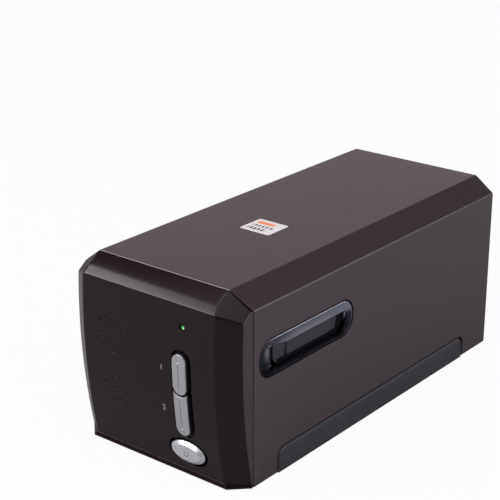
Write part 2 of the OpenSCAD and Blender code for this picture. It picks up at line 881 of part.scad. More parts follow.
module panel_board_screws() {
    y = seam_y + panel_board_t;
    color("silver") for (x = panel_screw_x, z = panel_screw_z) {
        rod_y(x, z, board_head_r, y, y + small_head_h);
        rod_y(x, z, board_screw_r, seam_y - screw_len + 3, y + small_head_h / 2);
    }
}

// ---- scan mechanism ----

// Bent sheet with feet on the side that foot_sign gives
module bracket(y, foot_sign, feet_x) {
    half = bracket_foot_w / 2;
    foot_y = foot_sign > 0 ? [y, y + sheet_t + bracket_foot_d] : [y - bracket_foot_d, y + sheet_t];
    difference() {
        union() {
            block([-bracket_x, y, tray_top], [bracket_x, y + sheet_t, tray_top + bracket_h]);
            for (x = feet_x) block([x - half, foot_y[0], tray_top], [x + half, foot_y[1], tray_top + sheet_t]);
        }
        for (s = [-1, 1]) rod_y(s * rod_x, rod_z, rod_r + 0.02, y - 1, y + sheet_t + 1);
        block([-belt_x - belt_window[0], y - 1, belt_z0 - belt_window[1]],
            [-belt_x + belt_window[0], y + sheet_t + 1, belt_z1 + belt_window[1]]);
        block([-bracket_window[0], y - 1, tray_top + bracket_window[1]],
            [bracket_window[0], y + sheet_t + 1, tray_top + bracket_h + 1]);
        for (x = feet_x)
            rod_z(x, foot_sign > 0 ? y + sheet_t + bracket_foot_d / 2 : y - bracket_foot_d / 2, screw_free_r,
                tray_top - 1, tray_top + sheet_t + 1);
    }
}

module front_rod_bracket() {
    color("#8d9093") bracket(front_bracket_y, 1, front_feet_x);
}

module rear_rod_bracket() {
    color("#8d9093") bracket(rear_bracket_y, -1, rear_feet_x);
}

module bracket_screw_places() {
    for (x = front_feet_x) translate([x, front_bracket_y + sheet_t + bracket_foot_d / 2, 0]) children();
    for (x = rear_feet_x) translate([x, rear_bracket_y - bracket_foot_d / 2, 0]) children();
}

module bracket_screws() {
    color("silver") bracket_screw_places() screw_down(0, 0, tray_top + sheet_t, sheet_t + wall - 0.5);
}

module guide_rod(s) {
    color("#d0d2d4")
        rod_y(s * rod_x, rod_z, rod_r, front_bracket_y - rod_end, rear_bracket_y + sheet_t + rod_end);
}

module carriage_frame() {
    x = carriage_x;
    color("#232427") difference() {
        union() {
            difference() {
                block([-x, carriage_y0, carriage_z0], [x, carriage_y1, carriage_z1 - lid_t]);
                block([-x + shell_t, carriage_y0 + shell_t, carriage_z0 + shell_t],
                    [x - shell_t, carriage_y1 + 1, carriage_z1]);
            }
            block([-x + 1, lens_wall_y, carriage_z0 + 1],
                [x - 1, lens_wall_y + lens_wall_t, carriage_z1 - lid_t]);
            for (y = bushing_y) {
                rod_y(-rod_x, rod_z, boss_r, y, y + bushing_len);
                block([-rod_x, y, rod_z - boss_arm[0]], [-x + 1, y + bushing_len, rod_z + boss_arm[1]]);
            }
            block([x - 1, fork_y - fork_half, rod_z - rod_r - fork_wall],
                [rod_x + fork_end, fork_y + fork_half, rod_z + rod_r + fork_wall]);
        }
        for (y = bushing_y) rod_y(-rod_x, rod_z, bushing_r, y - 1, y + bushing_len + 1);
        block([rod_x - rod_r - 1, fork_y - fork_half - 1, rod_z - rod_r - run_gap],
            [rod_x + fork_end + 1, fork_y + fork_half + 1, rod_z + rod_r + run_gap]);
        rod_y(0, axis_z, lens_r + 0.03, lens_wall_y - 1, lens_wall_y + lens_wall_t + 1);
    }
}

module rod_bushings() {
    color("#b08d57") for (y = bushing_y) difference() {
        rod_y(-rod_x, rod_z, bushing_r - 0.02, y, y + bushing_len);
        rod_y(-rod_x, rod_z, rod_r + run_gap, y - 1, y + bushing_len + 1);
    }
}

module carriage_lid() {
    color("#2c2d31") difference() {
        block([-carriage_x, carriage_y0, carriage_z1 - lid_t], [carriage_x, carriage_y1, carriage_z1]);
        block([-gate_x, line_y - light_gap, carriage_z1 - lid_t - 1],
            [gate_x, line_y + light_gap, carriage_z1 + 1]);
        block([-arm_x - fit_gap, column_y0 - fit_gap, carriage_z1 - lid_t - 1],
            [arm_x + fit_gap, column_y0 + column_d + fit_gap, carriage_z1 + 1]);
    }
}

module scan_mirror() {
    half = (carriage_z1 - lid_t - carriage_z0 - shell_t) / 2;
    color("#c9d4de") translate([0, line_y, axis_z]) rotate([-45, 0, 0])
        block([-carriage_x + shell_t, -half, -mirror_t / 2], [carriage_x - shell_t, half, mirror_t / 2]);
}

module lens_barrel() {
    y0 = lens_wall_y - lens_front;
    color("#3a3a3e") difference() {
        union() {
            rod_y(0, axis_z, lens_r, y0, y0 + lens_len);
            rod_y(0, axis_z, lens_r + lens_flange_w, lens_wall_y - lens_flange, lens_wall_y);
        }
        rod_y(0, axis_z, lens_r - barrel_t, lens_wall_y - lens_flange - 1, y0 + lens_len + 1);
    }
}

module lens_glass() {
    y0 = lens_wall_y - lens_front;
    color("#a9c7e0") for (y = [y0, y0 + lens_len - glass_t - 1])
        rod_y(0, axis_z, lens_r - barrel_t - 0.02, y, y + glass_t);
}

module sensor_board() {
    color("#1f5a3a") block([-carriage_x, carriage_y1, carriage_z0 + 2],
        [carriage_x, carriage_y1 + board_t, carriage_z1 - 1]);
}

module image_sensor() {
    x = carriage_x - sensor_in;
    color("#5c6670") block([-x, carriage_y1 - sensor_t, axis_z - sensor_h / 2],
        [x, carriage_y1, axis_z + sensor_h / 2]);
}

module lamp_arm() {
    bottom = arm_z0 - lamp_drop;
    color("#2b2c30") union() {
        block([-arm_x, column_y0, carriage_z1 - lid_t], [arm_x, column_y0 + column_d, arm_z0 + arm_t]);
        block([-arm_x, carriage_y0, arm_z0], [arm_x, column_y0 + column_d, arm_z0 + arm_t]);
        for (y = [line_y - lamp_half, line_y + lamp_half - lamp_wall])
            block([-arm_x, y, bottom], [arm_x, y + lamp_wall, arm_z0 + 1]);
        for (x = [-arm_x, arm_x - lamp_wall])
            block([x, line_y - lamp_half, bottom], [x + lamp_wall, line_y + lamp_half, arm_z0 + 1]);
    }
}

module lamp_board() {
    x = arm_x - lamp_wall;
    y = lamp_half - lamp_wall;
    color("#e8ecec") union() {
        block([-x, line_y - y, arm_z0 - board_t], [x, line_y + y, arm_z0]);
        for (i = [-3:3])
            block([i * lamp_chip_pitch - lamp_chip / 2, line_y - lamp_chip / 2, arm_z0 - board_t - 1],
                [i * lamp_chip_pitch + lamp_chip / 2, line_y + lamp_chip / 2, arm_z0 - board_t / 2]);
    }
}

module lamp_diffuser() {
    x = arm_x - lamp_wall;
    y = lamp_half - lamp_wall;
    color("#f4f4ee") block([-x, line_y - y, arm_z0 - lamp_drop],
        [x, line_y + y, arm_z0 - lamp_drop + lamp_wall]);
}

module belt_clamp() {
    x = -belt_x + belt_r;
    grip = belt_t / 2 + clamp_bite;
    color("#2c2d31") difference() {
        block([x - clamp_half, clamp_y0, belt_z0 - 1], [x + clamp_half, clamp_y0 + clamp_len, carriage_z0]);
        block([x - grip, clamp_y0 - 1, belt_z0 - 2], [x + grip, clamp_y0 + clamp_len + 1, belt_z1 + fit_gap]);
    }
}

module drive_belt() {
    color("#1d1d1f") translate([0, 0, belt_z0]) linear_extrude(belt_z1 - belt_z0) difference() {
        union() {
            for (y = [idler_y, motor_y]) translate([-belt_x, y]) circle(belt_r + belt_t / 2);
            translate([-belt_x - belt_r - belt_t / 2, idler_y])
                square([2 * belt_r + belt_t, motor_y - idler_y]);
        }
        for (y = [idler_y, motor_y]) translate([-belt_x, y]) circle(belt_r - belt_t / 2);
        translate([-belt_x - belt_r + belt_t / 2, idler_y]) square([2 * belt_r - belt_t, motor_y - idler_y]);
    }
}

module pulley(y, bore_r) {
    color("#c8b27a") difference() {
        union() {
            rod_z(-belt_x, y, pulley_r, belt_z0 - pulley_end, belt_z1 + pulley_end);
            for (z = [belt_z0 - pulley_end, belt_z1 + pulley_end - flange_t])
                rod_z(-belt_x, y, flange_r, z, z + flange_t);
        }
        rod_z(-belt_x, y, bore_r, belt_z0 - 3, belt_z1 + 3);
    }
}

module motor_pulley() {
    pulley(motor_y, shaft_r + 0.01);
}

module idler_pulley() {
    pulley(idler_y, idler_pin_r + run_gap);
}

module motor_shaft() {
    color("silver") rod_z(-belt_x, motor_y, shaft_r, belt_z0 - 2 * pulley_end,
        motor_z0 + shaft_bore_depth - part_gap);
}

module idler_pin() {
    cap_z = belt_z1 + pulley_end + fit_gap;
    color("silver") union() {
        rod_z(-belt_x, idler_y, idler_pin_r, tray_top, cap_z + idler_cap_t);
        rod_z(-belt_x, idler_y, idler_pin_r + idler_hub_w, tray_top, belt_z0 - pulley_end - fit_gap);
        rod_z(-belt_x, idler_y, idler_pin_r + idler_cap_w, cap_z, cap_z + idler_cap_t);
    }
}

module stepper_motor() {
    color("#9a9da0") difference() {
        union() {
            rod_z(-belt_x, motor_y, motor_r, motor_z0, motor_z0 + motor_h);
            for (s = [-1, 1])
                block([-belt_x - motor_ear_half, motor_y + s * motor_r - motor_flange, motor_z0],
                    [-belt_x + motor_ear_half, motor_y + s * motor_r + motor_flange, motor_z0 + motor_ear_t]);
        }
        rod_z(-belt_x, motor_y, shaft_r + run_gap, motor_z0 - 1, motor_z0 + shaft_bore_depth);
        for (s = [-1, 1])
            rod_z(-belt_x, motor_y + s * motor_screw_y, board_hole_r, motor_z0 - 1, motor_z0 + motor_ear_t + 1);
    }
}

module motor_bracket() {
    half = motor_half;
    y1 = motor_y + motor_r + motor_flange;
    y0 = motor_y - motor_r - motor_flange;
    color("#8d9093") difference() {
        union() {
            block([-belt_x - half, y0, motor_z0 - sheet_t], [-belt_x + half, y1, motor_z0]);
            for (s = [-1, 1])
                block([-belt_x + s * (half - sheet_t / 2) - sheet_t / 2, y0 + 6, tray_top],
                    [-belt_x + s * (half - sheet_t / 2) + sheet_t / 2, y1 - 6, motor_z0 - sheet_t / 2]);
        }
        rod_z(-belt_x, motor_y, motor_hub_r, motor_z0 - sheet_t - 1, motor_z0 + 1);
        for (s = [-1, 1])
            rod_z(-belt_x, motor_y + s * motor_screw_y, screw_hole_r, motor_z0 - sheet_t - 1, motor_z0 + 1);
    }
}

module motor_screws() {
    color("silver") for (s = [-1, 1]) {
        head_z = motor_z0 + motor_ear_t;
        rod_z(-belt_x, motor_y + s * motor_screw_y, small_head_r, head_z, head_z + small_head_h);
        rod_z(-belt_x, motor_y + s * motor_screw_y, screw_r, motor_z0 - sheet_t - 0.5,
            head_z + small_head_h / 2);
    }
}

// ---- main board ----

module board_screw_places() {
    for (x = [board_x[0] + board_screw_in, board_x[1] - board_screw_in],
        y = [board_y[0] + board_screw_in, board_y[1] - board_screw_back]) translate([x, y, 0]) children();
}

module main_board() {
    color("#1f5a3a") difference() {
        block([board_x[0], board_y[0], board_z], [board_x[1], board_y[1], board_z + board_t]);
        board_screw_places() rod_z(0, 0, board_hole_r, board_z - 1, board_z + board_t + 1);
    }
}

module board_chips() {
    color("#1b1b1d") for (i = [0:len(chip_sizes) - 1]) {
        low = [chip_places[i][0], board_y[0] + chip_places[i][1], board_z + board_t];
        block(low, low + chip_sizes[i]);
    }
}

module usb_socket() {
    z = board_z + board_t;
    w = usb_size[0];
    color("#c4c6c8") difference() {
        block([usb_x - w / 2, socket_y - usb_size[1], z], [usb_x + w / 2, socket_y, z + usb_size[2]]);
        difference() {
            block([usb_x - w / 2 + usb_shell, socket_y - usb_depth, z + usb_shell],
                [usb_x + w / 2 - usb_shell, socket_y + 1, z + usb_size[2] - usb_shell]);
            block([usb_x - usb_core[0] / 2, socket_y - usb_depth - 1, z + (usb_size[2] - usb_core[1]) / 2],
                [usb_x + usb_core[0] / 2, socket_y - 1, z + (usb_size[2] + usb_core[1]) / 2]);
        }
    }
}

module power_inlet() {
    z = board_z + board_t;
    w = inlet_size[0];
    color("#1c1c1e") difference() {
        block([inlet_x - w / 2, socket_y - inlet_size[1], z], [inlet_x + w / 2, socket_y, z + inlet_size[2]]);
        difference() {
            rod_y(inlet_x, z + inlet_size[2] / 2 + 0.5, inlet_r, socket_y - inlet_depth, socket_y + 1);
            rod_y(inlet_x, z + inlet_size[2] / 2 + 0.5, inlet_pin_r, socket_y - inlet_depth - 1, socket_y - 1);
        }
    }
}

module main_board_screws() {
    z = board_z + board_t;
    color("silver") board_screw_places() {
        rod_z(0, 0, board_head_r, z, z + small_head_h);
        rod_z(0, 0, board_screw_r, tray_top + 1, z + small_head_h / 2);
    }
}

module case_screws() {
    color("silver") case_screw_places() screw_up(0, 0, base_z + pocket_h, screw_len);
}

module rear_screws() {
    y = rear_in_y + wall;
    color("silver") for (s = [-1, 1]) {
        rod_y(s * rear_lug_x, rear_lug_z, screw_head_r, y, y + rear_inset - 0.1);
        rod_y(s * rear_lug_x, rear_lug_z, screw_r, rear_in_y - rear_lug_d + 2, y + rear_inset / 2);
    }
}

module tunnel_screws() {
    color("silver") tunnel_leg_places() screw_up(0, 0, base_z + pocket_h, screw_len);
}

top_cover();
front_panel();
rear_panel();
base_tray();
slot_bezel(1);  // right_slot_bezel
slot_bezel(-1);  // left_slot_bezel
dust_door(1);  // right_dust_door
dust_door(-1);  // left_dust_door
hinge_pin(1);  // right_hinge_pin
hinge_pin(-1);  // left_hinge_pin
foot_strip(1);  // right_foot_strip
foot_strip(-1);  // left_foot_strip
scan_button("upper", upper_key_z);  // upper_scan_button
scan_button("lower", lower_key_z);  // lower_scan_button
power_button();
light_pipe();
panel_board();
panel_switches();
status_led();
panel_board_screws();
top_label();
holder_tunnel();
front_rod_bracket();
rear_rod_bracket();
guide_rod(-1);  // main_guide_rod
guide_rod(1);  // side_guide_rod
carriage_frame();
carriage_lid();
rod_bushings();
scan_mirror();
lens_barrel();
lens_glass();
sensor_board();
image_sensor();
lamp_arm();
lamp_board();
lamp_diffuser();
belt_clamp();
drive_belt();
stepper_motor();
motor_bracket();
motor_screws();
motor_shaft();
motor_pulley();
idler_pulley();
idler_pin();
main_board();
board_chips();
usb_socket();
power_inlet();
main_board_screws();
case_screws();
rear_screws();
bracket_screws();
tunnel_screws();
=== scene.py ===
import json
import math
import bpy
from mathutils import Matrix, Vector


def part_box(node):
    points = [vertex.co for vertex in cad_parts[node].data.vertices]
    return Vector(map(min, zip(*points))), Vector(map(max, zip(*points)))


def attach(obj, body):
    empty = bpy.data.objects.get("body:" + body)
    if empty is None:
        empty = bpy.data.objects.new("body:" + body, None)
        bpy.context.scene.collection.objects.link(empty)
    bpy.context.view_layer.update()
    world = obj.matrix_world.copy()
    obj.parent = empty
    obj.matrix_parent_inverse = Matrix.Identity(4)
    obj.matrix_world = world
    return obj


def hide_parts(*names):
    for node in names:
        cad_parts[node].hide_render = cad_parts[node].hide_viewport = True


bl_info = {
    "name": "Film negative scanner",
    "version": (1, 0, 0),
    "blender": (4, 5, 0),
    "location": "View3D > Sidebar > Scanner",
    "description": "Models the casing, controls and slots of a desktop film scanner round its packed frame",
    "category": "Object",
}

from contextlib import contextmanager

import bpy
from mathutils import Matrix, Vector

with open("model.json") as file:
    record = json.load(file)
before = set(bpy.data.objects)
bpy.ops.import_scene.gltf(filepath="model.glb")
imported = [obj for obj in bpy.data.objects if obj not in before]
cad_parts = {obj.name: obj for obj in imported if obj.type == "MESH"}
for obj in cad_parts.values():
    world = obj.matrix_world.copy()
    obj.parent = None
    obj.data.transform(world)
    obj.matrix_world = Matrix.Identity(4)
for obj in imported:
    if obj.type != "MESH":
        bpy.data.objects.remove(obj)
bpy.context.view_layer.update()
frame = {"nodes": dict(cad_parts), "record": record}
NODES = frame["nodes"]

MM = 0.001
COVER_LOW, COVER_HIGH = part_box("top_cover")
SIDE_X = COVER_HIGH.x
TOP_Z = COVER_HIGH.z
# the casing's walls reach a little lower than the solids', against light from below
BASE_Z = COVER_LOW.z - 1.2 * MM
FRONT_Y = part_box("front_panel")[0].y
REAR_Y = COVER_HIGH.y
# the gap between the front panel and the cover: its middle and its width
SEAM_Y = COVER_LOW.y - 0.25 * MM
SEAM = 0.8 * MM
# how far cutters reach past what they cut
BEYOND = 1 * MM
# what keeps two surfaces from lying in one plane
HAIR = 0.05 * MM


# ---- sizes and colours that a user would change ----

def length(name, millimetres, description):
    return bpy.props.FloatProperty(
        name=name, description=description, default=millimetres * MM, unit="LENGTH", precision=5)


def paint(name, red, green, blue, description):
    return bpy.props.FloatVectorProperty(
        name=name, description=description, default=(red, green, blue), subtype="COLOR", min=0, max=1)


class ScannerSizes(bpy.types.PropertyGroup):
    wall: length("Wall", 2.5, "Thickness of the casing mouldings")
    edge_round: length("Edge rounding", 0.7, "Radius of the casing's long edges")
    chamfer_w: length("Chamfer width", 13.5, "Width of the chamfer along each top edge")
    chamfer_h: length("Chamfer height", 10, "Height of the chamfer along each top edge")
    face_w: length("Face width", 98.8, "Width of the front face between its side bevels")
    face_r: length("Face radius", 380, "Radius of the front face's upright curve")
    face_apex_z: length("Face apex", 80, "Height of the most forward line of the front face")
    side_bevel_d: length("Side bevel", 9, "Setback of the side bevels")
    top_bevel_h: length("Top bevel height", 10.5, "Height of the top bevel")
    top_bevel_d: length("Top bevel depth", 14.1, "Setback of the top bevel")
    corner_drop: length("Corner drop", 14.8, "Drop of the corner facets below the top")
    brow_bulge: length("Brow bulge", 0.9, "How far the top bevel bows out")
    sill_h: length("Sill", 2.8, "Height of the sill along the bottom of the front face")
    sill_slope_h: length("Sill slope", 1.9, "Height of the sill's sloped part")
    sill_d: length("Sill depth", 0.9, "How far the sill stands out below the front face")
    sill_corner: length("Sill corner", 10.5, "How far the sill's corners stay inside the sides")
    key_x: length("Key place", 25, "Distance of the scan buttons from the centre line")
    key_w: length("Key width", 9.7, "Width of a scan button")
    key_top_z: length("Key top", 79, "Top of the upper scan button")
    key_split_z: length("Key split", 54.2, "Where the lower scan button starts")
    key_bottom_z: length("Key bottom", 28, "Bottom of the lower scan button")
    key_proud: length("Key height", 1.98, "How far the buttons stand out of the front face")
    key_gap: length("Key gap", 1.25, "Gap between the scan buttons")
    recess_margin: length("Recess margin", 2.1, "Width of the recess round the scan buttons")
    recess_d: length("Recess depth", 3, "Depth of the recesses under the front face")
    cup_t: length("Recess wall", 1.6, "Thickness of the cups behind the recesses")
    power_w: length("Power button width", 25, "Width of the oval power button")
    power_h: length("Power button height", 13.6, "Height of the oval power button")
    power_z: length("Power button place", 16, "Height of the power button's centre")
    power_margin: length("Power recess margin", 1.9, "Width of the recess round the power button")
    light_z: length("Light place", 95, "Height of the status light")
    light_r: length("Light radius", 2, "Radius of the status light's hole")
    dimple_pitch: length("Dimple pitch", 7.9, "Spacing of the dimples in the front face")
    dimple_r: length("Dimple radius", 1.05, "Radius of a dimple")
    slot_setback: length("Slot setback", 24, "Distance of the slots behind the front face")
    slot_len: length("Slot length", 87, "Length of a slot's surround")
    slot_h: length("Slot height", 21.4, "Height of a slot's surround")
    slot_r: length("Slot corner", 9.5, "Corner radius of a slot's surround")
    slot_z: length("Slot place", 64.6, "Bottom of a slot's surround")
    surround_d: length("Surround depth", 3.2, "Depth of the sloped surround")
    front_slope: length("Front slope", 17, "Length of the slope at the front end of a slot")
    front_dip: length("Front dip", 3.0, "Extra depth of the surround at its front end")
    top_slope: length("Top slope", 8.2, "Height of the slope above the opening")
    lip: length("Lip", 0.8, "Width of the thin lip below and behind the opening")
    # the width of the gap round a slot's surround, which a near-black sheet of painted shade fills
    shade_gap_w: length("Shade gap width", 1.1, "Width of the black seal round a slot's surround")
    door_t: length("Door thickness", 1.5, "Thickness of a dust door")
    foot_h: length("Foot height", 15, "Height of the foot strips on the sides")
    foot_r: length("Foot corner", 6, "Corner radius of the foot strips")
    foot_gap: length("Foot gap", 1.2, "Gap between a foot strip and the cover")
    foot_crown: length("Foot crown", 1.1, "How far a foot strip's outer face bows out")


class ScannerColours(bpy.types.PropertyGroup):
    cover: paint("Cover", 0.0245, 0.0110, 0.0145, "Wrap-around cover")
    panel: paint("Front panel", 0.0085, 0.0022, 0.0027, "Front and rear panels")
    bezel: paint("Slot surround", 0.52, 0.535, 0.63, "Surrounds of the film holder slots")
    door: paint("Dust door", 0.018, 0.021, 0.026, "Dust doors in the slots")
    tray: paint("Base tray", 0.014, 0.012, 0.013, "Base tray")
    rubber: paint("Rubber", 0.024, 0.0245, 0.026, "Foot strips")
    silver: paint("Silver", 0.47, 0.48, 0.50, "Painted buttons")
    light: paint("Status light", 0.25, 0.85, 0.25, "Status light")
    label: paint("Label", 0.70, 0.68, 0.67, "Label on the top")


# ---- making meshes as by hand ----

def take(piece):
    """Selects one object alone and makes it active."""
    bpy.ops.object.select_all(action="DESELECT")
    piece.select_set(True)
    bpy.context.view_layer.objects.active = piece


@contextmanager
def editing(piece, select="SELECT"):
    """Edit mode for one piece, with everything selected, nothing, or (None) what was selected."""
    take(piece)
    bpy.ops.object.mode_set(mode="EDIT")
    if select:
        bpy.ops.mesh.select_all(action=select)
    yield
    bpy.ops.object.mode_set(mode="OBJECT")


def rename(piece, name):
    piece.name = name
    piece.data.name = name
    return piece


def named(name):
    """Names the active object, and moves its place, turn and scale into its mesh."""
    bpy.ops.object.transform_apply(location=True, rotation=True, scale=True)
    return rename(bpy.context.view_layer.objects.active, name)


def added(name, operator, **settings):
    """Adds an object with nothing else selected, and names it."""
    bpy.ops.object.select_all(action="DESELECT")
    operator(**settings)
    return named(name)


def add_box(name, low, high):
    low, high = Vector(low), Vector(high)
    return added(name, bpy.ops.mesh.primitive_cube_add, size=1, location=(low + high) / 2, scale=high - low)


def add_rod(name, start, end, radius, sides):
    """A round bar from start to end, a start for pins and holes."""
    start, end = Vector(start), Vector(end)
    turn = (end - start).to_track_quat("Z", "Y").to_euler()
    return added(name, bpy.ops.mesh.primitive_cylinder_add, vertices=sides, radius=radius,
                 depth=(end - start).length, location=(start + end) / 2, rotation=turn)


def add_ball(name, centre, radius, segments):
    """A cutter for a dimple, with its poles along Y."""
    return added(name, bpy.ops.mesh.primitive_uv_sphere_add, segments=segments, ring_count=14, radius=radius,
                 location=centre, rotation=(math.pi / 2, 0, 0))


def spot(u, v, w, axis):
    """A point from its two outline values and its place along the axis."""
    return {"X": (w, u, v), "Y": (u, w, v), "Z": (u, v, w)}[axis]


def add_prism(name, outline, start, end, axis="Y"):
    """A plate with the outline's shape: (y, z) points along X, (x, z) along Y or (x, y) along Z."""
    piece = added(name, bpy.ops.mesh.primitive_circle_add, vertices=len(outline), radius=1, fill_type="NGON")
    for vertex, (u, v) in zip(piece.data.vertices, outline):
        vertex.co = spot(u, v, start, axis)
    with editing(piece):
        bpy.ops.mesh.extrude_region_move(TRANSFORM_OT_translate={"value": spot(0, 0, end - start, axis)})
        bpy.ops.mesh.select_all(action="SELECT")
        bpy.ops.mesh.normals_make_consistent(inside=False)
    return piece


def add_wrapped(name, columns, rows, place):
    """A grid whose points go to place(u, v), with u and v from 0 to 1, closed where its edges meet."""
    piece = added(name, bpy.ops.mesh.primitive_grid_add, x_subdivisions=columns, y_subdivisions=rows, size=2)
    for vertex in piece.data.vertices:
        vertex.co = place((vertex.co.x + 1) / 2, (vertex.co.y + 1) / 2)
    with editing(piece):
        bpy.ops.mesh.remove_doubles(threshold=0.001 * MM)
        bpy.ops.mesh.normals_make_consistent(inside=False)
    return piece


def cut_off(piece, point, normal):
    """Removes everything beyond the plane and closes the cut."""
    with editing(piece):
        bpy.ops.mesh.bisect(plane_co=point, plane_no=normal, use_fill=True, clear_outer=True)
    return piece


def slice_levels(piece, levels):
    """Level cuts right round, so that the piece can follow the curved face."""
    with editing(piece):
        for z in levels:
            bpy.ops.mesh.select_all(action="SELECT")
            bpy.ops.mesh.bisect(plane_co=(0, 0, z), plane_no=(0, 0, 1))
    return piece


def levels_between(low, high, count):
    return [low + (high - low) * i / count for i in range(1, count)]


def slice_evenly(piece, count=None, spacing=4 * MM):
    """Level cuts in equal steps over the whole height."""
    heights = [v.co.z for v in piece.data.vertices]
    low, high = min(heights), max(heights)
    return slice_levels(piece, levels_between(low, high, count or max(2, round((high - low) / spacing))))


def step_face(piece, towards, steps):
    """Insets the end face that looks towards a direction, once per (inset, advance) step."""
    towards = Vector(towards)
    reach = max(p.center.dot(towards) for p in piece.data.polygons if p.normal.dot(towards) > 0.99)
    end = reach - 0.001 * MM
    with editing(piece, "DESELECT"):
        bpy.ops.mesh.select_mode(type="FACE")
    for polygon in piece.data.polygons:
        polygon.select = polygon.normal.dot(towards) > 0.99 and polygon.center.dot(towards) > end
    with editing(piece, None):
        for inset, advance in steps:
            bpy.ops.mesh.inset(thickness=inset, depth=advance, use_even_offset=True)
    return piece


def quarter_turn(count):
    """(rise of the sine, fall of the cosine) for each step of a quarter turn."""
    turns = [math.radians(90 * i / count) for i in range(count + 1)]
    return [(math.sin(b) - math.sin(a), math.cos(a) - math.cos(b)) for a, b in zip(turns, turns[1:])]


def round_steps(radius, count=4, height=None):
    """Steps of a rounded outer rim, from the side wall to the face."""
    return [(radius * fall, (height or radius) * rise) for rise, fall in quarter_turn(count)]


def hollow_steps(radius):
    """Steps of a cutter that leaves a rounded mouth, from the surface down."""
    return [(radius * rise, radius * fall) for rise, fall in quarter_turn(4)]


def apply_modifier(piece, kind, **settings):
    take(piece)
    modifier = piece.modifiers.new(kind.lower(), kind)
    for key, value in settings.items():
        setattr(modifier, key, value)
    bpy.ops.object.modifier_apply(modifier=modifier.name)
    return piece


def combine(piece, tool, operation="DIFFERENCE"):
    """Joins or cuts with another piece, which is used up."""
    apply_modifier(piece, "BOOLEAN", operation=operation, solver="EXACT", object=tool)
    bpy.data.objects.remove(tool)
    if not piece.data.polygons:
        raise RuntimeError(f"nothing was left of {piece.name}")
    return piece


def soften(piece, width, angle, segments):
    """Rounds every edge sharper than the angle."""
    return apply_modifier(piece, "BEVEL", width=width, segments=segments, limit_method="ANGLE",
                          angle_limit=math.radians(angle), use_clamp_overlap=False, miter_outer="MITER_ARC")


def polish(piece, angle=32):
    """Smooth shading that keeps flat faces flat."""
    take(piece)
    bpy.ops.object.shade_smooth_by_angle(angle=math.radians(angle))
    return apply_modifier(piece, "WEIGHTED_NORMAL", keep_sharp=True)


def flip_over(piece):
    """Makes a right-hand piece a left-hand one, with its faces outwards."""
    piece.data.transform(Matrix.Scale(-1, 4, (1, 0, 0)))
    with editing(piece):
        bpy.ops.mesh.flip_normals()
    return piece


def mirrored(piece, name):
    take(piece)
    bpy.ops.object.duplicate()
    return flip_over(rename(bpy.context.view_layer.objects.active, name))


def joined(pieces, name):
    take(pieces[0])
    for piece in pieces:
        piece.select_set(True)
    bpy.ops.object.join()
    return rename(pieces[0], name)


def dress(piece, finish, body="root", stands_for=None):
    """Gives a piece its material, its body and the node that it replaces."""
    piece.data.materials.clear()
    piece.data.materials.append(FINISHES[finish])
    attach(piece, body)
    if stands_for:
        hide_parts(stands_for)


# ---- outlines, as points in a plane ----

def arc_points(centre_u, centre_v, radius, start, end, count):
    turns = [math.radians(start + (end - start) * i / count) for i in range(count + 1)]
    return [(centre_u + radius * math.cos(a), centre_v + radius * math.sin(a)) for a in turns]


def pill_outline(x, low, high, radius, count=20):
    return (arc_points(x, high - radius, radius, 0, 180, count)
            + arc_points(x, low + radius, radius, 180, 360, count))


def lower_key_outline(x, low, top, gap_r, radius, count=20):
    """Round below and hollow above, where the upper button's round end fits in."""
    hollow = arc_points(x, top + gap_r, gap_r, 180, 360, count)
    kept = [p for p in hollow if abs(p[0] - x) < radius]
    corner_z = top + gap_r - math.sqrt(gap_r ** 2 - radius ** 2)
    return ([(x - radius, corner_z)] + kept + [(x + radius, corner_z)]
            + arc_points(x, low + radius, radius, 360, 180, count))


def oval_outline(x, z, width, height, count=64):
    turns = [2 * math.pi * i / count for i in range(count)]
    return [(x + width / 2 * math.cos(a), z + height / 2 * math.sin(a)) for a in turns]


def frame_outline(low, high, radii, straight=6, count=8):
    """A rectangle with a radius for each corner: upper rear, upper front, lower front, lower rear."""
    corners = ((high[0], high[1], -1, -1), (low[0], high[1], 1, -1),
               (low[0], low[1], 1, 1), (high[0], low[1], -1, 1))
    bends = [arc_points(u + in_u * r, v + in_v * r, r, 90 * i, 90 * i + 90, count)
             for i, ((u, v, in_u, in_v), r) in enumerate(zip(corners, radii))]
    points = []
    for bend, following in zip(bends, bends[1:] + bends[:1]):
        (u, v), (end_u, end_v) = bend[-1], following[0]
        shares = [k / straight for k in range(1, straight)]
        points += bend + [(u + (end_u - u) * t, v + (end_v - v) * t) for t in shares]
    return points


# ---- materials ----

class Wire:
    """A value in a material. Arithmetic on it adds the Math nodes."""

    def __init__(self, owner, socket):
        self.owner = owner
        self.socket = socket

    def math(self, operation, *values):
        return self.owner.node("Math", {"operation": operation}, dict(enumerate(values)))

    def __add__(self, other):
        return self.math("ADD", self, other)

    def __radd__(self, other):
        return self.math("ADD", other, self)

    def __sub__(self, other):
        return self.math("SUBTRACT", self, other)

    def __rsub__(self, other):
        return self.math("SUBTRACT", other, self)

    def __mul__(self, other):
        return self.math("MULTIPLY", self, other)

    def __rmul__(self, other):
        return self.math("MULTIPLY", other, self)

    def __truediv__(self, other):
        return self.math("DIVIDE", self, other)

    def __abs__(self):
        return self.math("ABSOLUTE", self)

    def above(self, limit):
        return self.math("GREATER_THAN", self, limit)

    def below(self, limit):
        return self.math("LESS_THAN", self, limit)


FINISHES = {}


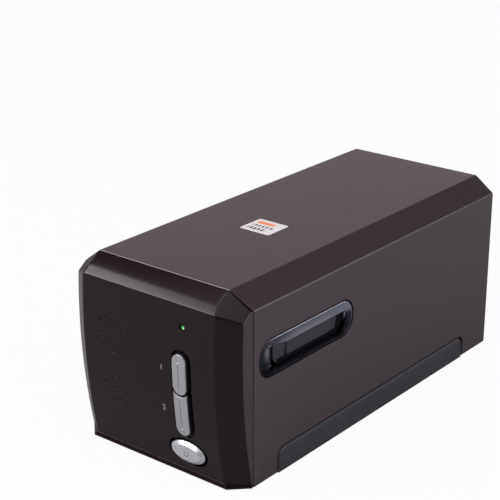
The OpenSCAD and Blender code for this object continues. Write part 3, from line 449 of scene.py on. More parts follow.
class Finish:
    """One material, or the world, and the nodes in it."""

    def __init__(self, name, holder=None):
        self.name = name
        self.holder = holder or bpy.data.materials.new(name)
        self.holder.use_nodes = True
        self.tree = self.holder.node_tree
        self.tree.nodes.clear()

    def node(self, kind, settings=None, inputs=None, output=0):
        """Adds a node, with its settings first and then the values or links of its sockets."""
        made = self.tree.nodes.new("ShaderNode" + kind)
        for key, value in (settings or {}).items():
            if key == "stops":
                self.set_stops(made.color_ramp, value)
            else:
                setattr(made, key, value)
        for key, value in (inputs or {}).items():
            if isinstance(value, Wire):
                self.tree.links.new(value.socket, made.inputs[key])
            else:
                made.inputs[key].default_value = value
        return Wire(self, made.outputs[output]) if made.outputs else None

    @staticmethod
    def set_stops(ramp, stops):
        while len(ramp.elements) < len(stops):
            ramp.elements.new(0.5)
        for element, (place, colour) in zip(ramp.elements, stops):
            element.position = place
            element.color = (*colour, 1)

    def place(self):
        """Where a point lies on the piece, in metres."""
        return self.node("TexCoord", output="Object")

    def along(self, axis):
        return self.node("SeparateXYZ", None, {0: self.place()}, axis)

    def noise(self, per_metre, detail=3.0, roughness=0.5, stretch=None):
        where = self.place()
        if stretch:
            where = self.node("Mapping", None, {"Vector": where, "Scale": stretch})
        return self.node("TexNoise", None, {
            "Vector": where, "Scale": per_metre, "Detail": detail, "Roughness": roughness}, "Fac")

    def grain(self, per_metre):
        return self.node("TexVoronoi", {"feature": "SMOOTH_F1"}, {
            "Vector": self.place(), "Scale": per_metre, "Smoothness": 0.6}, "Distance")

    def flow_marks(self):
        return self.noise(14, 4, 0.6, (1, 0.35, 1))

    def mould_grain(self):
        return self.grain(3600) * 0.6 + self.noise(5200, 2) * 0.4

    def mix(self, factor, first, second):
        """first where factor is 0, second where it is 1."""
        def full(colour):
            return colour if isinstance(colour, Wire) else (*colour[:3], 1)
        return self.node("Mix", {"data_type": "RGBA"}, {0: factor, 6: full(first), 7: full(second)}, 2)

    def shades(self, factor, colour, dark, light):
        return self.mix(factor, shade(colour, dark), shade(colour, light))

    def relief(self, height, depth_mm):
        return self.node("Bump", None, {"Height": height, "Distance": depth_mm * MM, "Strength": 1.0})

    def surface(self, tint, gloss, **others):
        """The shader itself. Other inputs have an underscore for each space in their names."""
        inputs = {"Base Color": tint, "Roughness": gloss}
        inputs.update((key.replace("_", " "), value) for key, value in others.items())
        self.node("OutputMaterial", None, {"Surface": self.node("BsdfPrincipled", None, inputs, "BSDF")})
        FINISHES[self.name] = self.holder


def shade(colour, factor):
    return tuple(min(1.0, c * factor) for c in colour[:3])


def moulded_plastic(name, colour, roughness, grain_mm=0.012, specular=0.5):
    """Fine spark-eroded grain with faint flow marks and slightly uneven gloss."""
    f = Finish(name)
    mottle = f.flow_marks() * 0.7 + f.noise(420, 2) * 0.3
    gloss = f.noise(60, 3) * 0.04 + f.noise(900, 2) * 0.06 + (roughness - 0.05)
    f.surface(f.shades(mottle, colour, 0.94, 1.06), gloss, Specular_IOR_Level=specular,
              Normal=f.relief(f.mould_grain(), grain_mm))


def panel_finish(colour, side_colour, roughness, side_roughness):
    """Polished plastic whose side returns are textured like the cover."""
    f = Finish("panel_plastic")
    returns = abs(f.along("X")).above(SIDE_X - 0.25 * MM)
    flow = f.flow_marks()
    tint = f.mix(returns, f.shades(flow, colour, 0.94, 1.06), f.shades(flow, side_colour, 0.94, 1.06))
    gloss = f.noise(60, 3) * 0.04 + returns * (side_roughness - roughness) + (roughness - 0.02)
    f.surface(tint, gloss, Specular_IOR_Level=0.26, Coat_Weight=returns * 0.75, Coat_Roughness=0.38,
              Normal=f.relief(f.mould_grain() * (returns * 0.9 + 0.1), 0.012))


def surround_finish(colour, lip_z):
    """Satin metal-effect plastic, with painted shade at its front end and on its lower slope, but not on the
    lip.
    """
    f = Finish("bezel_plastic")

    def blend(axis, start, end, most):
        return f.node("MapRange", {"interpolation_type": "SMOOTHSTEP"}, {
            0: f.along(axis), 1: start, 2: end, 3: 0.0, 4: most})

    # painted shade: the front end and the lower slope are mixed towards near black where the surround lies
    # in shade; the lip keeps the plain colour
    front_end_shade = blend("Y", FRONT_Y + 39 * MM, FRONT_Y + 29 * MM, 0.86)
    lower_slope_shade = blend("Z", lip_z + 10 * MM, lip_z + 4 * MM, 0.80)
    above_lip = blend("Z", lip_z + 0.8 * MM, lip_z + 1.3 * MM, 1.0)
    dark = 1 - (1 - front_end_shade) * (1 - lower_slope_shade * above_lip)
    brushed = f.noise(420, 3, 0.6, (1, 0.2, 1))
    tint = f.mix(dark, f.shades(brushed, colour, 0.90, 1.10), (0.010, 0.010, 0.012))
    f.surface(tint, brushed * 0.08 + 0.26, Metallic=1.0, Normal=f.relief(f.noise(3600, 2), 0.003))


def rubber_finish(colour):
    """Matte rubber with a coarser grain and dust in it."""
    f = Finish("foot_rubber")
    stops = [(0.45, (0, 0, 0)), (0.8, (1, 1, 1))]
    dust = f.node("ValToRGB", {"stops": stops}, {0: f.noise(90, 5, 0.7)})
    height = f.grain(2200) + f.noise(3000, 2) * 0.5
    f.surface(f.shades(dust, colour, 1.0, 1.5), f.noise(200, 2) * 0.12 + 0.42, Specular_IOR_Level=0.5,
              Normal=f.relief(height, 0.03))


def silver_paint(name, colour):
    """Metal-flake paint: tiny bright flakes in a satin binder."""
    f = Finish(name)
    flakes = f.node("TexVoronoi", {"feature": "F1"}, {"Vector": f.place(), "Scale": 6500}, "Color")
    spark = f.node("SeparateColor", None, {0: flakes}, "Red")
    f.surface(f.shades(spark * 0.5 + f.noise(120, 3) * 0.5, colour, 0.84, 1.16), spark * 0.12 + 0.30,
              Metallic=0.72, Specular_IOR_Level=0.5, Coat_Weight=0.15, Coat_Roughness=0.25,
              Normal=f.relief(spark, 0.004))


def turned_metal(name, colour, roughness, stretch=(1, 1, 30)):
    """Fine tool marks across one direction."""
    f = Finish(name)
    marks = f.noise(700, 3, 0.6, stretch)
    f.surface(f.shades(marks, colour, 0.82, 1.12), marks * 0.18 + (roughness - 0.09), Metallic=1.0,
              Normal=f.relief(marks, 0.004))


def glowing_light(colour):
    """Clear green plastic that lights up over the lamp behind its lower left side."""
    f = Finish("light_green")
    low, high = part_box("light_pipe")
    centre = (low + high) / 2
    lamp_spot = (centre.x + 0.7 * MM, low.y + 0.9 * MM, centre.z - 0.6 * MM)
    reach = 1.9 * MM
    offset = f.node("VectorMath", {"operation": "DISTANCE"}, {0: f.place(), 1: lamp_spot}, "Value")
    stops = [(0.20, (0.75, 1.0, 0.70)), (0.50, (0.12, 0.60, 0.12)), (0.80, (0.0, 0.015, 0.0))]
    glow = f.node("ValToRGB", {"stops": stops}, {0: offset / reach})
    f.surface(f.shades(f.noise(900, 2), colour, 0.02, 0.05), f.noise(700, 2) * 0.1 + 0.1,
              Emission_Color=glow, Emission_Strength=0.95, Specular_IOR_Level=0.6)


def printed_label(colour):
    """White film with a plain bar in orange and rows of plain dark ticks, which say nothing."""
    f = Finish("label_paper")
    low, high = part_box("top_label")
    u = (f.along("X") - low.x) / (high.x - low.x)
    v = (f.along("Y") - low.y) / (high.y - low.y)

    def bar(left, right, bottom, top):
        return u.above(left) * u.below(right) * v.above(bottom) * v.below(top)

    orange = bar(0.12, 0.70, 0.66, 0.84)
    ticks = f.node("TexWave", {"bands_direction": "X"}, {
        "Vector": f.place(), "Scale": 110, "Distortion": 3}, "Fac").above(0.35)
    dark = (bar(0.12, 0.84, 0.42, 0.54) + bar(0.12, 0.72, 0.14, 0.32)) * ticks
    paper = f.shades(f.noise(300, 3), colour, 0.95, 1.04)
    tint = f.mix(dark, f.mix(orange, paper, (0.80, 0.22, 0.07)), (0.03, 0.035, 0.06))
    f.surface(tint, f.noise(500, 2) * 0.1 + 0.3, Coat_Weight=0.3, Coat_Roughness=0.15,
              Normal=f.relief(f.noise(1500, 2), 0.01))


def board_finish(name, colour):
    """Lacquered circuit board with copper tracks under the mask."""
    f = Finish(name)
    tracks = f.node("TexBrick", {"offset": 0.35}, {
        "Vector": f.place(), "Scale": 260, "Mortar Size": 0.06, "Brick Width": 0.9,
        "Row Height": 0.3}, "Fac")
    f.surface(f.shades(tracks, colour, 1.35, 0.85), f.noise(300, 2) * 0.1 + 0.25, Coat_Weight=0.4,
              Coat_Roughness=0.1, Normal=f.relief(tracks, 0.03))


def glass_finish(name, colour, metallic, roughness):
    f = Finish(name)
    sheen = f.noise(40, 2)
    f.surface(f.shades(sheen, colour, 0.9, 1.0), sheen * 0.04 + roughness, Metallic=metallic,
              Coat_Weight=0.5, Coat_Roughness=0.03)


def opal_finish(name, colour):
    f = Finish(name)
    f.surface(f.shades(f.noise(80, 3), colour, 0.94, 1.0), f.noise(500, 2) * 0.1 + 0.4,
              Subsurface_Weight=0.2, Normal=f.relief(f.noise(2500, 2), 0.01))


def make_finishes(colours):
    moulded_plastic("cover_plastic", colours.cover, 0.37, 0.010, 1.0)
    panel_finish(colours.panel, colours.cover, 0.25, 0.36)
    moulded_plastic("tray_plastic", colours.tray, 0.55, 0.02)
    surround_finish(colours.bezel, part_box("right_slot_bezel")[0].z)
    moulded_plastic("door_plastic", colours.door, 0.40)
    # near-black; the sheets of painted shade in the slot gaps and on the dust doors are made of it
    moulded_plastic("door_felt", (0.003, 0.003, 0.0035), 0.9, 0.05, 0.1)
    moulded_plastic("inner_plastic", (0.012, 0.012, 0.014), 0.6, 0.02, 0.3)
    moulded_plastic("chip_black", (0.012, 0.012, 0.013), 0.45, 0.01)
    moulded_plastic("belt_rubber", (0.008, 0.008, 0.009), 0.7, 0.03, 0.3)
    moulded_plastic("mark_ink", (0.42, 0.41, 0.42), 0.5)
    moulded_plastic("mark_grey", (0.10, 0.10, 0.11), 0.5)
    rubber_finish(colours.rubber)
    silver_paint("button_silver", colours.silver)
    # the power button's silver is the button paint made 1.4 times lighter: painted light
    silver_paint("power_silver_painted_light", shade(colours.silver, 1.4))
    glowing_light(colours.light)
    printed_label(colours.label)
    opal_finish("led_body", (0.75, 0.82, 0.72))
    opal_finish("diffuser_white", (0.85, 0.85, 0.82))
    board_finish("board_green", (0.015, 0.10, 0.045))
    turned_metal("pin_steel", (0.55, 0.55, 0.57), 0.25, (1, 30, 1))
    turned_metal("screw_steel", (0.45, 0.45, 0.47), 0.35)
    turned_metal("bracket_steel", (0.42, 0.43, 0.44), 0.42, (12, 1, 1))
    turned_metal("rod_steel", (0.60, 0.60, 0.62), 0.18, (1, 40, 1))
    turned_metal("motor_metal", (0.42, 0.43, 0.45), 0.35)
    turned_metal("socket_metal", (0.58, 0.59, 0.60), 0.28, (1, 20, 1))
    turned_metal("pulley_brass", (0.58, 0.44, 0.20), 0.28)
    turned_metal("bushing_bronze", (0.42, 0.27, 0.12), 0.45, (1, 8, 1))
    turned_metal("lens_black", (0.03, 0.03, 0.035), 0.4)
    glass_finish("mirror_glass", (0.85, 0.88, 0.90), 1.0, 0.02)
    glass_finish("lens_glass", (0.20, 0.28, 0.40), 0.3, 0.03)


# ---- the casing ----

def face_sag(sizes, z):
    """How far the front face has curved back at a height."""
    return sizes.face_r - math.sqrt(sizes.face_r ** 2 - (z - sizes.face_apex_z) ** 2)


def follow_face(piece, sizes, nearer_than=SEAM_Y):
    """Moves all points in front of a plane back along the face's curve."""
    for vertex in piece.data.vertices:
        if vertex.co.y < nearer_than:
            vertex.co.y += face_sag(sizes, vertex.co.z)
    piece.data.update()
    return piece


def cut_chamfers(piece, sizes, inset):
    for side in (-1, 1):
        normal = Vector((side * sizes.chamfer_h, 0, sizes.chamfer_w)).normalized()
        point = Vector((side * (SIDE_X - sizes.chamfer_w), 0, TOP_Z)) - normal * inset
        cut_off(piece, point, normal)
    return piece


def cut_bowed(piece, low, high, bulge, inset, planes=7):
    """Cuts along an arc that bulges out of the line from low to high, with one plane after another."""
    chord = high - low
    radius = chord.length ** 2 / (8 * bulge) + bulge / 2
    outward = Vector((0, -chord.z, chord.y)).normalized()
    centre = (low + high) / 2 + outward * (bulge - radius)
    half_turn = math.asin(chord.length / 2 / radius)
    for i in range(planes):
        normal = Matrix.Rotation(half_turn * (2 * i / (planes - 1) - 1), 3, "X") @ outward
        cut_off(piece, centre + normal * (radius - inset), normal)
    return piece


def panel_block(name, sizes, inset, back_y):
    """The front panel's faceted body, moved in by inset on every outer face."""
    piece = add_box(name, (-SIDE_X + inset, FRONT_Y + inset, BASE_Z + inset),
                    (SIDE_X - inset, back_y, TOP_Z - inset))
    half_face = sizes.face_w / 2
    for side in (-1, 1):
        normal = Vector((side * sizes.side_bevel_d, half_face - SIDE_X, 0)).normalized()
        cut_off(piece, Vector((side * half_face, FRONT_Y, 0)) - normal * inset, normal)
    slice_levels(piece, levels_between(BASE_Z, TOP_Z, 18))
    follow_face(piece, sizes, back_y - BEYOND)
    cut_chamfers(piece, sizes, inset)
    brow_z = TOP_Z - sizes.top_bevel_h
    brow_y = FRONT_Y + face_sag(sizes, brow_z)
    ridge_y = FRONT_Y + sizes.top_bevel_d
    cut_bowed(piece, Vector((0, brow_y, brow_z)), Vector((0, ridge_y, TOP_Z)), sizes.brow_bulge, inset)
    cheek_z = TOP_Z - sizes.corner_drop
    cheek_y = FRONT_Y + face_sag(sizes, cheek_z) + sizes.side_bevel_d
    for side in (-1, 1):
        ridge = Vector((side * (SIDE_X - sizes.chamfer_w), ridge_y, TOP_Z))
        brow = Vector((side * half_face, brow_y, brow_z))
        cheek = Vector((side * SIDE_X, cheek_y, cheek_z))
        normal = ((brow - ridge).cross(cheek - ridge) * side).normalized()
        cut_off(piece, ridge - normal * inset, normal)
    return piece


def cut_at_seam(piece, sizes):
    """Ends the front panel at the seam, which leans forward above the side walls, up to the top bevel."""
    cut_off(piece, (0, SEAM_Y - SEAM / 2, 0), (0, 1, 0))
    point = Vector((0, SEAM_Y, TOP_Z - sizes.chamfer_h))
    normal = Vector((0, sizes.chamfer_h, SEAM_Y - FRONT_Y - sizes.top_bevel_d)).normalized()
    cut_off(piece, point - normal * SEAM / 2, normal)
    return soften(piece, 0.15 * MM, 60, 2)


def add_sill(sizes):
    """Sill that slopes out from the face to an almost square corner under each side bevel."""
    top_z = BASE_Z + sizes.sill_h
    shoulder_z = top_z - sizes.sill_slope_h
    top_y = FRONT_Y + face_sag(sizes, top_z)
    foot_y, bevel_y, back_y = top_y - sizes.sill_d, top_y + sizes.side_bevel_d, SEAM_Y - 0.7 * MM
    half_face, corner_x, side_x = sizes.face_w / 2, SIDE_X - sizes.sill_corner, SIDE_X - HAIR
    foot = [(-side_x, back_y), (-corner_x, foot_y), (corner_x, foot_y), (side_x, back_y)]
    top = [(-side_x, bevel_y), (-half_face, top_y), (half_face, top_y), (side_x, bevel_y)]
    piece = slice_levels(add_prism("sill", foot, BASE_Z + 0.03 * MM, top_z, "Z"), [shoulder_z])
    moved = dict(zip(foot, top))
    for vertex in piece.data.vertices:
        if vertex.co.z > shoulder_z + HAIR:
            start = min(foot, key=lambda point: (Vector(point) - vertex.co.xy).length)
            vertex.co.xy = moved[start]
    return piece


def face_tool(sizes, outline, depth, mouth_r=0.0, floor_r=0.0):
    """A cutter for the curved face: straight in front of it, rounded at the mouth and at the floor."""
    piece = add_prism("face_tool", outline, FRONT_Y - 4 * MM, FRONT_Y)
    steps = hollow_steps(mouth_r) if mouth_r else []
    steps.append((0, depth - mouth_r - floor_r))
    steps += round_steps(floor_r) if floor_r else []
    step_face(piece, (0, 1, 0), steps)
    return follow_face(slice_evenly(piece), sizes)


def key_outlines(sizes):
    """The outline of each button, and of both scan buttons together, for a growth all round."""
    x, r, gap = sizes.key_x, sizes.key_w / 2, sizes.key_gap
    low, split, top = sizes.key_bottom_z, sizes.key_split_z, sizes.key_top_z
    return {
        "upper": lambda g: pill_outline(x, split - g, top + g, r + g),
        "lower": lambda g: lower_key_outline(x, low - g, split - gap + g, r + gap - g, r + g),
        "both": lambda g: pill_outline(x, low - g, top + g, r + g),
        "power": lambda g: oval_outline(x, sizes.power_z, sizes.power_w + 2 * g, sizes.power_h + 2 * g),
    }


# the dimples' columns: (place, height of the top one, how many)
DIMPLE_COLUMNS = ((-35 * MM, 90.9 * MM, 8), (-27 * MM, 88.6 * MM, 9), (-18.6 * MM, 87 * MM, 9))


def dimple_tools(sizes):
    """Balls in front of the face that reach a little way into it."""
    tools = []
    for x, top, count in DIMPLE_COLUMNS:
        for i in range(count):
            z = top - i * sizes.dimple_pitch
            centre = (x, FRONT_Y + face_sag(sizes, z) - sizes.dimple_r * 0.5, z)
            tools.append(add_ball(f"dimple_{len(tools)}", centre, sizes.dimple_r * 1.12, 20))
    return joined(tools, "dimples")


def make_front_panel(sizes):
    """Faceted front with its sill and dimples, and the recesses and holes of the controls."""
    outlines = key_outlines(sizes)
    piece = panel_block("front_panel_shell", sizes, 0, SEAM_Y + 10 * MM)
    cut_at_seam(soften(piece, sizes.edge_round, 12, 3), sizes)
    combine(piece, panel_block("panel_inside", sizes, sizes.wall, SEAM_Y + BEYOND))
    combine(piece, soften(add_sill(sizes), 0.25 * MM, 12, 2), "UNION")
    margins = {"both": sizes.recess_margin, "power": sizes.power_margin}
    cup_front = FRONT_Y + 0.8 * MM
    cup_back = FRONT_Y + sizes.recess_d + sizes.cup_t
    for name, margin in margins.items():
        cup = add_prism("cup", outlines[name](margin + sizes.cup_t), cup_front, cup_back)
        slice_levels(cup, levels_between(8 * MM, 84 * MM, 19))
        combine(piece, follow_face(cup, sizes), "UNION")
    recess_r = 0.5 * MM
    for name, margin in margins.items():
        outline = outlines[name](margin + recess_r)
        combine(piece, face_tool(sizes, outline, sizes.recess_d, recess_r, recess_r))
    key_fit = 0.3 * MM
    through = 9 * MM
    for name in margins:
        combine(piece, face_tool(sizes, outlines[name](key_fit), through))
    mouth_r = 0.2 * MM
    mouth_w = 2 * (sizes.light_r + mouth_r)
    light_x = sizes.key_x + 1 * MM
    light_hole = oval_outline(light_x, sizes.light_z, mouth_w, mouth_w, 40)
    combine(piece, face_tool(sizes, light_hole, through, mouth_r))
    combine(piece, dimple_tools(sizes))
    return polish(piece)


def slot_outline(sizes, grow=0.0):
    low = (FRONT_Y + sizes.slot_setback - grow, sizes.slot_z - grow)
    high = (FRONT_Y + sizes.slot_setback + sizes.slot_len + grow, sizes.slot_z + sizes.slot_h + grow)
    return frame_outline(low, high, [sizes.slot_r + grow] * 4)


def foot_outline(low_y, high_y, low_z, high_z, r):
    """Square below and round above."""
    return ([(low_y, low_z), (high_y, low_z)]
            + arc_points(high_y - r, high_z - r, r, 0, 90, 12)
            + arc_points(low_y + r, high_z - r, r, 90, 180, 12))


def make_cover(sizes):
    """Top and side walls in one, with the openings of the slots and the pockets of the feet."""
    front_y = SEAM_Y + SEAM / 2
    profile = [(front_y, BASE_Z), (REAR_Y, BASE_Z), (REAR_Y, TOP_Z),
               (FRONT_Y + sizes.top_bevel_d + SEAM / 2, TOP_Z), (front_y, TOP_Z - sizes.chamfer_h)]
    piece = add_prism("cover_shell", profile, -SIDE_X, SIDE_X, "X")
    soften(cut_chamfers(piece, sizes, 0), sizes.edge_round, 12, 3)
    inside = add_box("cover_inside", (-SIDE_X + sizes.wall, SEAM_Y - 9 * MM, BASE_Z - 5 * MM),
                     (SIDE_X - sizes.wall, REAR_Y + 5 * MM, TOP_Z - sizes.wall))
    combine(piece, cut_chamfers(inside, sizes, sizes.wall))
    mouth_r = 0.2 * MM
    mouth = slot_outline(sizes, sizes.shade_gap_w + mouth_r)
    gap = sizes.foot_gap
    foot_low, foot_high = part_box("right_foot_strip")
    pocket = foot_outline(foot_low.y - gap, foot_high.y + gap, -BEYOND, sizes.foot_h + gap, sizes.foot_r)
    for side in (-1, 1):
        far_x = side * (SIDE_X + 3 * MM)
        tool = add_prism("slot_tool", mouth, far_x, side * SIDE_X, "X")
        step_face(tool, (-side, 0, 0), hollow_steps(mouth_r) + [(0, sizes.wall + BEYOND)])
        combine(piece, tool)
        combine(piece, add_prism("foot_tool", pocket, side * (SIDE_X - 2 * MM), far_x, "X"))
    return polish(piece)


def make_rear_panel(sizes):
    """Rear wall with a shallow field round the sockets."""
    low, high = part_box("rear_panel")
    usb_low, usb_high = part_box("usb_socket")
    inlet_low, inlet_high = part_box("power_inlet")
    screw_low, screw_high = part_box("rear_screws")
    fit = 0.3 * MM
    piece = add_box("rear_shell", low, high)
    soften(cut_chamfers(piece, sizes, sizes.wall + fit), 0.3 * MM, 30, 2)
    margin, under = 5 * MM, 3 * MM
    field_d, corner_r, floor_r = 0.8 * MM, 2.5 * MM, 0.3 * MM
    field = frame_outline((inlet_low.x - margin, inlet_low.z - under),
                          (usb_high.x + margin, usb_high.z + margin), [corner_r] * 4)
    tool = add_prism("field", field, high.y + 2 * BEYOND, high.y - field_d + floor_r)
    combine(piece, step_face(tool, (0, -1, 0), round_steps(floor_r, 2)))
    for socket_low, socket_high in ((usb_low, usb_high), (inlet_low, inlet_high)):
        hole_low = (socket_low.x - fit, low.y - 2 * BEYOND, socket_low.z - fit)
        hole_high = (socket_high.x + fit, high.y + 2 * BEYOND, socket_high.z + fit)
        combine(piece, add_box("socket_hole", hole_low, hole_high))
    head_r, hole_r = 2.7 * MM, 1.6 * MM
    z = (screw_low.z + screw_high.z) / 2
    for x in (screw_low.x + head_r, screw_high.x - head_r):
        combine(piece, add_rod("screw_hole", (x, low.y - BEYOND, z), (x, high.y + BEYOND, z), hole_r, 24))
    return polish(piece)


# ---- the film holder slots ----

def slope_rings(sizes, rim, mouth, steps=12):
    """Rings from the rim to the mouth: straight above the opening, scooped out in front of it."""
    outer_x = SIDE_X - 0.35 * MM
    front_y = min(y for y, z in mouth)
    depths = []
    scoops = []
    for (rim_y, rim_z), (y, z) in zip(rim, mouth):
        near_front = max(0.0, 1 - (y - front_y) / (9 * MM))
        depths.append(sizes.surround_d + sizes.front_dip * near_front ** 2 - HAIR)
        along, up = abs(y - rim_y), abs(z - rim_z)
        scoops.append(along / (along + up + 1e-9) if y > rim_y else 0.0)
    rings = []
    for i in range(steps + 1):
        t = i / steps
        ring = [(a[0] + (b[0] - a[0]) * t, a[1] + (b[1] - a[1]) * t) for a, b in zip(rim, mouth)]
        places = [outer_x - depth * (t + scoop * (1 - (1 - t) ** 1.8 - t))
                  for depth, scoop in zip(depths, scoops)]
        rings.append((ring, places))
    return rings


def make_bezel(sizes):
    """Surround that slopes from a flush rim to the opening, with the chamber wall behind it."""
    front_y = FRONT_Y + sizes.slot_setback
    open_low = (front_y + sizes.front_slope, sizes.slot_z + sizes.lip)
    open_high = (front_y + sizes.slot_len - sizes.lip, sizes.slot_z + sizes.slot_h - sizes.top_slope)
    mouth = frame_outline(open_low, open_high, [3.2 * MM, 0.9 * MM, 0.9 * MM, sizes.slot_r - sizes.lip])

    def chamber(grow):
        high = (open_high[0] - 0.7 * MM + grow, open_high[1] + 2.8 * MM + grow)
        return frame_outline((open_low[0] - grow, open_low[1] - grow), high, [0.4 * MM + grow] * 4)

    rim_x = SIDE_X - 0.3 * MM
    flange_x = SIDE_X - sizes.wall - 0.3 * MM
    ledge_x = SIDE_X - sizes.surround_d - sizes.front_dip - 1.5 * MM
    back_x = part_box("right_slot_bezel")[0].x
    flange = slot_outline(sizes, 1.5 * MM)
    # first the rounded edge of the rim
    rings = [(slot_outline(sizes), rim_x - 0.35 * MM), (slot_outline(sizes, -0.1 * MM), rim_x - 0.1 * MM),
             (slot_outline(sizes, -0.3 * MM), rim_x), (slot_outline(sizes, -0.4 * MM), rim_x)]
    rings += slope_rings(sizes, slot_outline(sizes, -0.45 * MM), mouth)
    # then in through the opening, round the chamber's wall, and out behind the cover
    chamber_x = [min(x - 0.3 * MM, SIDE_X - sizes.surround_d - 1.9 * MM) for x in rings[-1][1]]
    rings += [(mouth, chamber_x), (chamber(0), chamber_x), (chamber(0), back_x), (chamber(2 * MM), back_x),
              (chamber(2 * MM), ledge_x), (flange, ledge_x), (flange, flange_x),
              (slot_outline(sizes), flange_x)]
    count = len(mouth)

    def place(u, v):
        ring, depth = rings[round(v * len(rings)) % len(rings)]
        k = round(u * count) % count
        x = depth[k] if isinstance(depth, list) else depth
        return x, *ring[k]

    return polish(add_wrapped("right_slot_surround", count, len(rings), place), 30)


def make_gap_shade_sheet(sizes):
    """Near-black sheet in the gap between a slot's surround and the cover: painted shade for the gap's
    shadow.
    """
    fit = 0.03 * MM
    hole = add_prism("gap_shade_hole", slot_outline(sizes, fit), SIDE_X - 3 * MM, SIDE_X + BEYOND, "X")
    piece = add_prism("right_slot_gap_shade", slot_outline(sizes, sizes.shade_gap_w - fit), SIDE_X - 1.6 * MM,
                      SIDE_X - 0.25 * MM, "X")
    return polish(combine(piece, hole), 40)


def door_corner(sizes):
    """How much of a dust door's low rear corner is cut away, inside the opening's rounding."""
    return sizes.slot_r - sizes.lip - 0.6 * MM


def make_door(sizes, hand):
    """Dust door: a leaf with a raised middle, hung from a knuckle along its top edge."""
    low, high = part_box(f"{hand}_dust_door")
    pin_low, pin_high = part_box("right_hinge_pin")
    hinge_x = (pin_low.x + pin_high.x) / 2
    hinge_z = (pin_low.z + pin_high.z) / 2
    knuckle_r = 1.8 * MM
    leaf_x = hinge_x + (knuckle_r - sizes.door_t if hand == "right" else -knuckle_r)
    face_x = leaf_x + sizes.door_t
    y0, y1, z0 = low.y, high.y, low.z
    front_cut, rear_cut = 3.4 * MM, door_corner(sizes)
    leaf = [(y0 + front_cut, z0), (y1 - rear_cut, z0), (y1, z0 + rear_cut), (y1, hinge_z), (y0, hinge_z),
            (y0, z0 + front_cut)]
    piece = add_prism(f"{hand}_door_leaf", leaf, leaf_x, face_x, "X")
    pad_y0, pad_y1 = y0 + 11.5 * MM, y1 - 15.5 * MM
    pad_drop = 0.6 * MM if hand == "right" else 4.8 * MM
    pad_top = sizes.slot_z + sizes.slot_h - sizes.top_slope - pad_drop
    pad_outline = frame_outline((pad_y0, z0 + 2.7 * MM), (pad_y1, pad_top), [0.5 * MM] * 4, 2, 4)
    pad = add_prism("pad", pad_outline, leaf_x + sizes.door_t / 2, face_x + 0.4 * MM, "X")
    combine(piece, step_face(pad, (1, 0, 0), round_steps(0.3 * MM, 3)), "UNION")
    combine(piece, add_box("slit", (leaf_x - BEYOND, pad_y0 - 1.4 * MM, z0 - BEYOND),
                           (face_x + BEYOND, pad_y0 - 0.6 * MM, z0 + 6 * MM)))
    knuckle = add_rod("knuckle", (hinge_x, y0, hinge_z), (hinge_x, y1, hinge_z), knuckle_r, 32)
    combine(piece, knuckle, "UNION")
    bore_r = 1.06 * MM
    bore = add_rod("bore", (hinge_x, y0 - BEYOND, hinge_z), (hinge_x, y1 + BEYOND, hinge_z), bore_r, 32)
    combine(piece, bore)
    return polish(piece if hand == "right" else flip_over(piece), 30)


def make_door_painted_shade(sizes, hand):
    """Near-black sheet along the lower edge and the rear end of a dust door: painted shade for the shadowed
    gap under the door and the shadowed rear end of the passage.
    """
    low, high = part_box("right_dust_door")
    face_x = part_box("right_hinge_pin")[0].x + 2.8 * MM
    rear_cut = door_corner(sizes)
    edge = 0.1 * MM
    y0, y1, z0 = low.y + 3.5 * MM, high.y - edge, low.z + edge
    band_z = low.z + 2.6 * MM
    end_drop = 4.2 * MM if hand == "right" else 7.2 * MM
    end_z = high.z - end_drop
    outline = [(y0, z0), (high.y - rear_cut, z0), (y1, low.z + rear_cut), (y1, end_z),
               (high.y - 7 * MM, end_z), (high.y - 8.5 * MM, band_z), (y0, band_z)]
    piece = add_prism(f"{hand}_door_felt", outline, face_x - 0.2 * MM, face_x + 0.45 * MM, "X")
    return polish(piece if hand == "right" else flip_over(piece), 30)


# ---- buttons, light, feet and label ----

# the share of the face's lean that the power button doesn't have
POWER_UPRIGHT = 0.6
# (inset, advance) of each step of its rim
POWER_RIM = [(0.06 * MM, 0.15 * MM), (0.20 * MM, 0.20 * MM), (1.9 * MM, 1.40 * MM)]


def key_front(sizes):
    """Where the buttons' faces lie, before they follow the curve."""
    return FRONT_Y - sizes.key_proud


def stand_up(piece, sizes):
    """Undoes a share of the lean that the curved face has given the power button."""
    for vertex in piece.data.vertices:
        vertex.co.y -= POWER_UPRIGHT * (face_sag(sizes, vertex.co.z) - face_sag(sizes, sizes.power_z))
    piece.data.update()
    return piece


def make_key_cap(name, sizes, outline, rim, cap_t):
    """Silver front cap of a button, with the rim's steps, that follows the curved face."""
    front = key_front(sizes)
    piece = add_prism(name, outline(0), front + cap_t, front + sum(advance for inset, advance in rim))
    step_face(piece, (0, -1, 0), rim)
    return follow_face(slice_evenly(piece, 8), sizes)


def make_key_body(name, sizes, outline, cap_t, stem_z, node):
    """Black body of a button, behind its cap, with its stem."""
    back = FRONT_Y + sizes.recess_d + sizes.cup_t + 1 * MM
    piece = add_prism(name, outline(-0.15 * MM), key_front(sizes) + cap_t - HAIR, back)
    follow_face(slice_evenly(piece, 8), sizes)
    stem_y = back + face_sag(sizes, stem_z) - 0.5 * MM
    stem_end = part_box(node)[1].y
    stem = add_rod("stem", (sizes.key_x, stem_y, stem_z), (sizes.key_x, stem_end, stem_z), 1.6 * MM, 24)
    return polish(combine(piece, stem, "UNION"), 35)


def engrave_key(piece, sizes, line_low, line_high, dot_z):
    """A fine upright line with a round dimple at its outer end."""
    front = key_front(sizes)
    x = sizes.key_x - 0.4 * MM
    half = 0.22 * MM
    line = frame_outline((x - half, line_low), (x + half, line_high), [half] * 4, 2, 5)
    tool = slice_evenly(add_prism("line", line, front - BEYOND, front + 0.3 * MM), 6)
    combine(piece, follow_face(tool, sizes))
    dot = (x, front + face_sag(sizes, dot_z) - 0.62 * MM, dot_z)
    return combine(piece, add_ball("dot", dot, 1.1 * MM, 24))


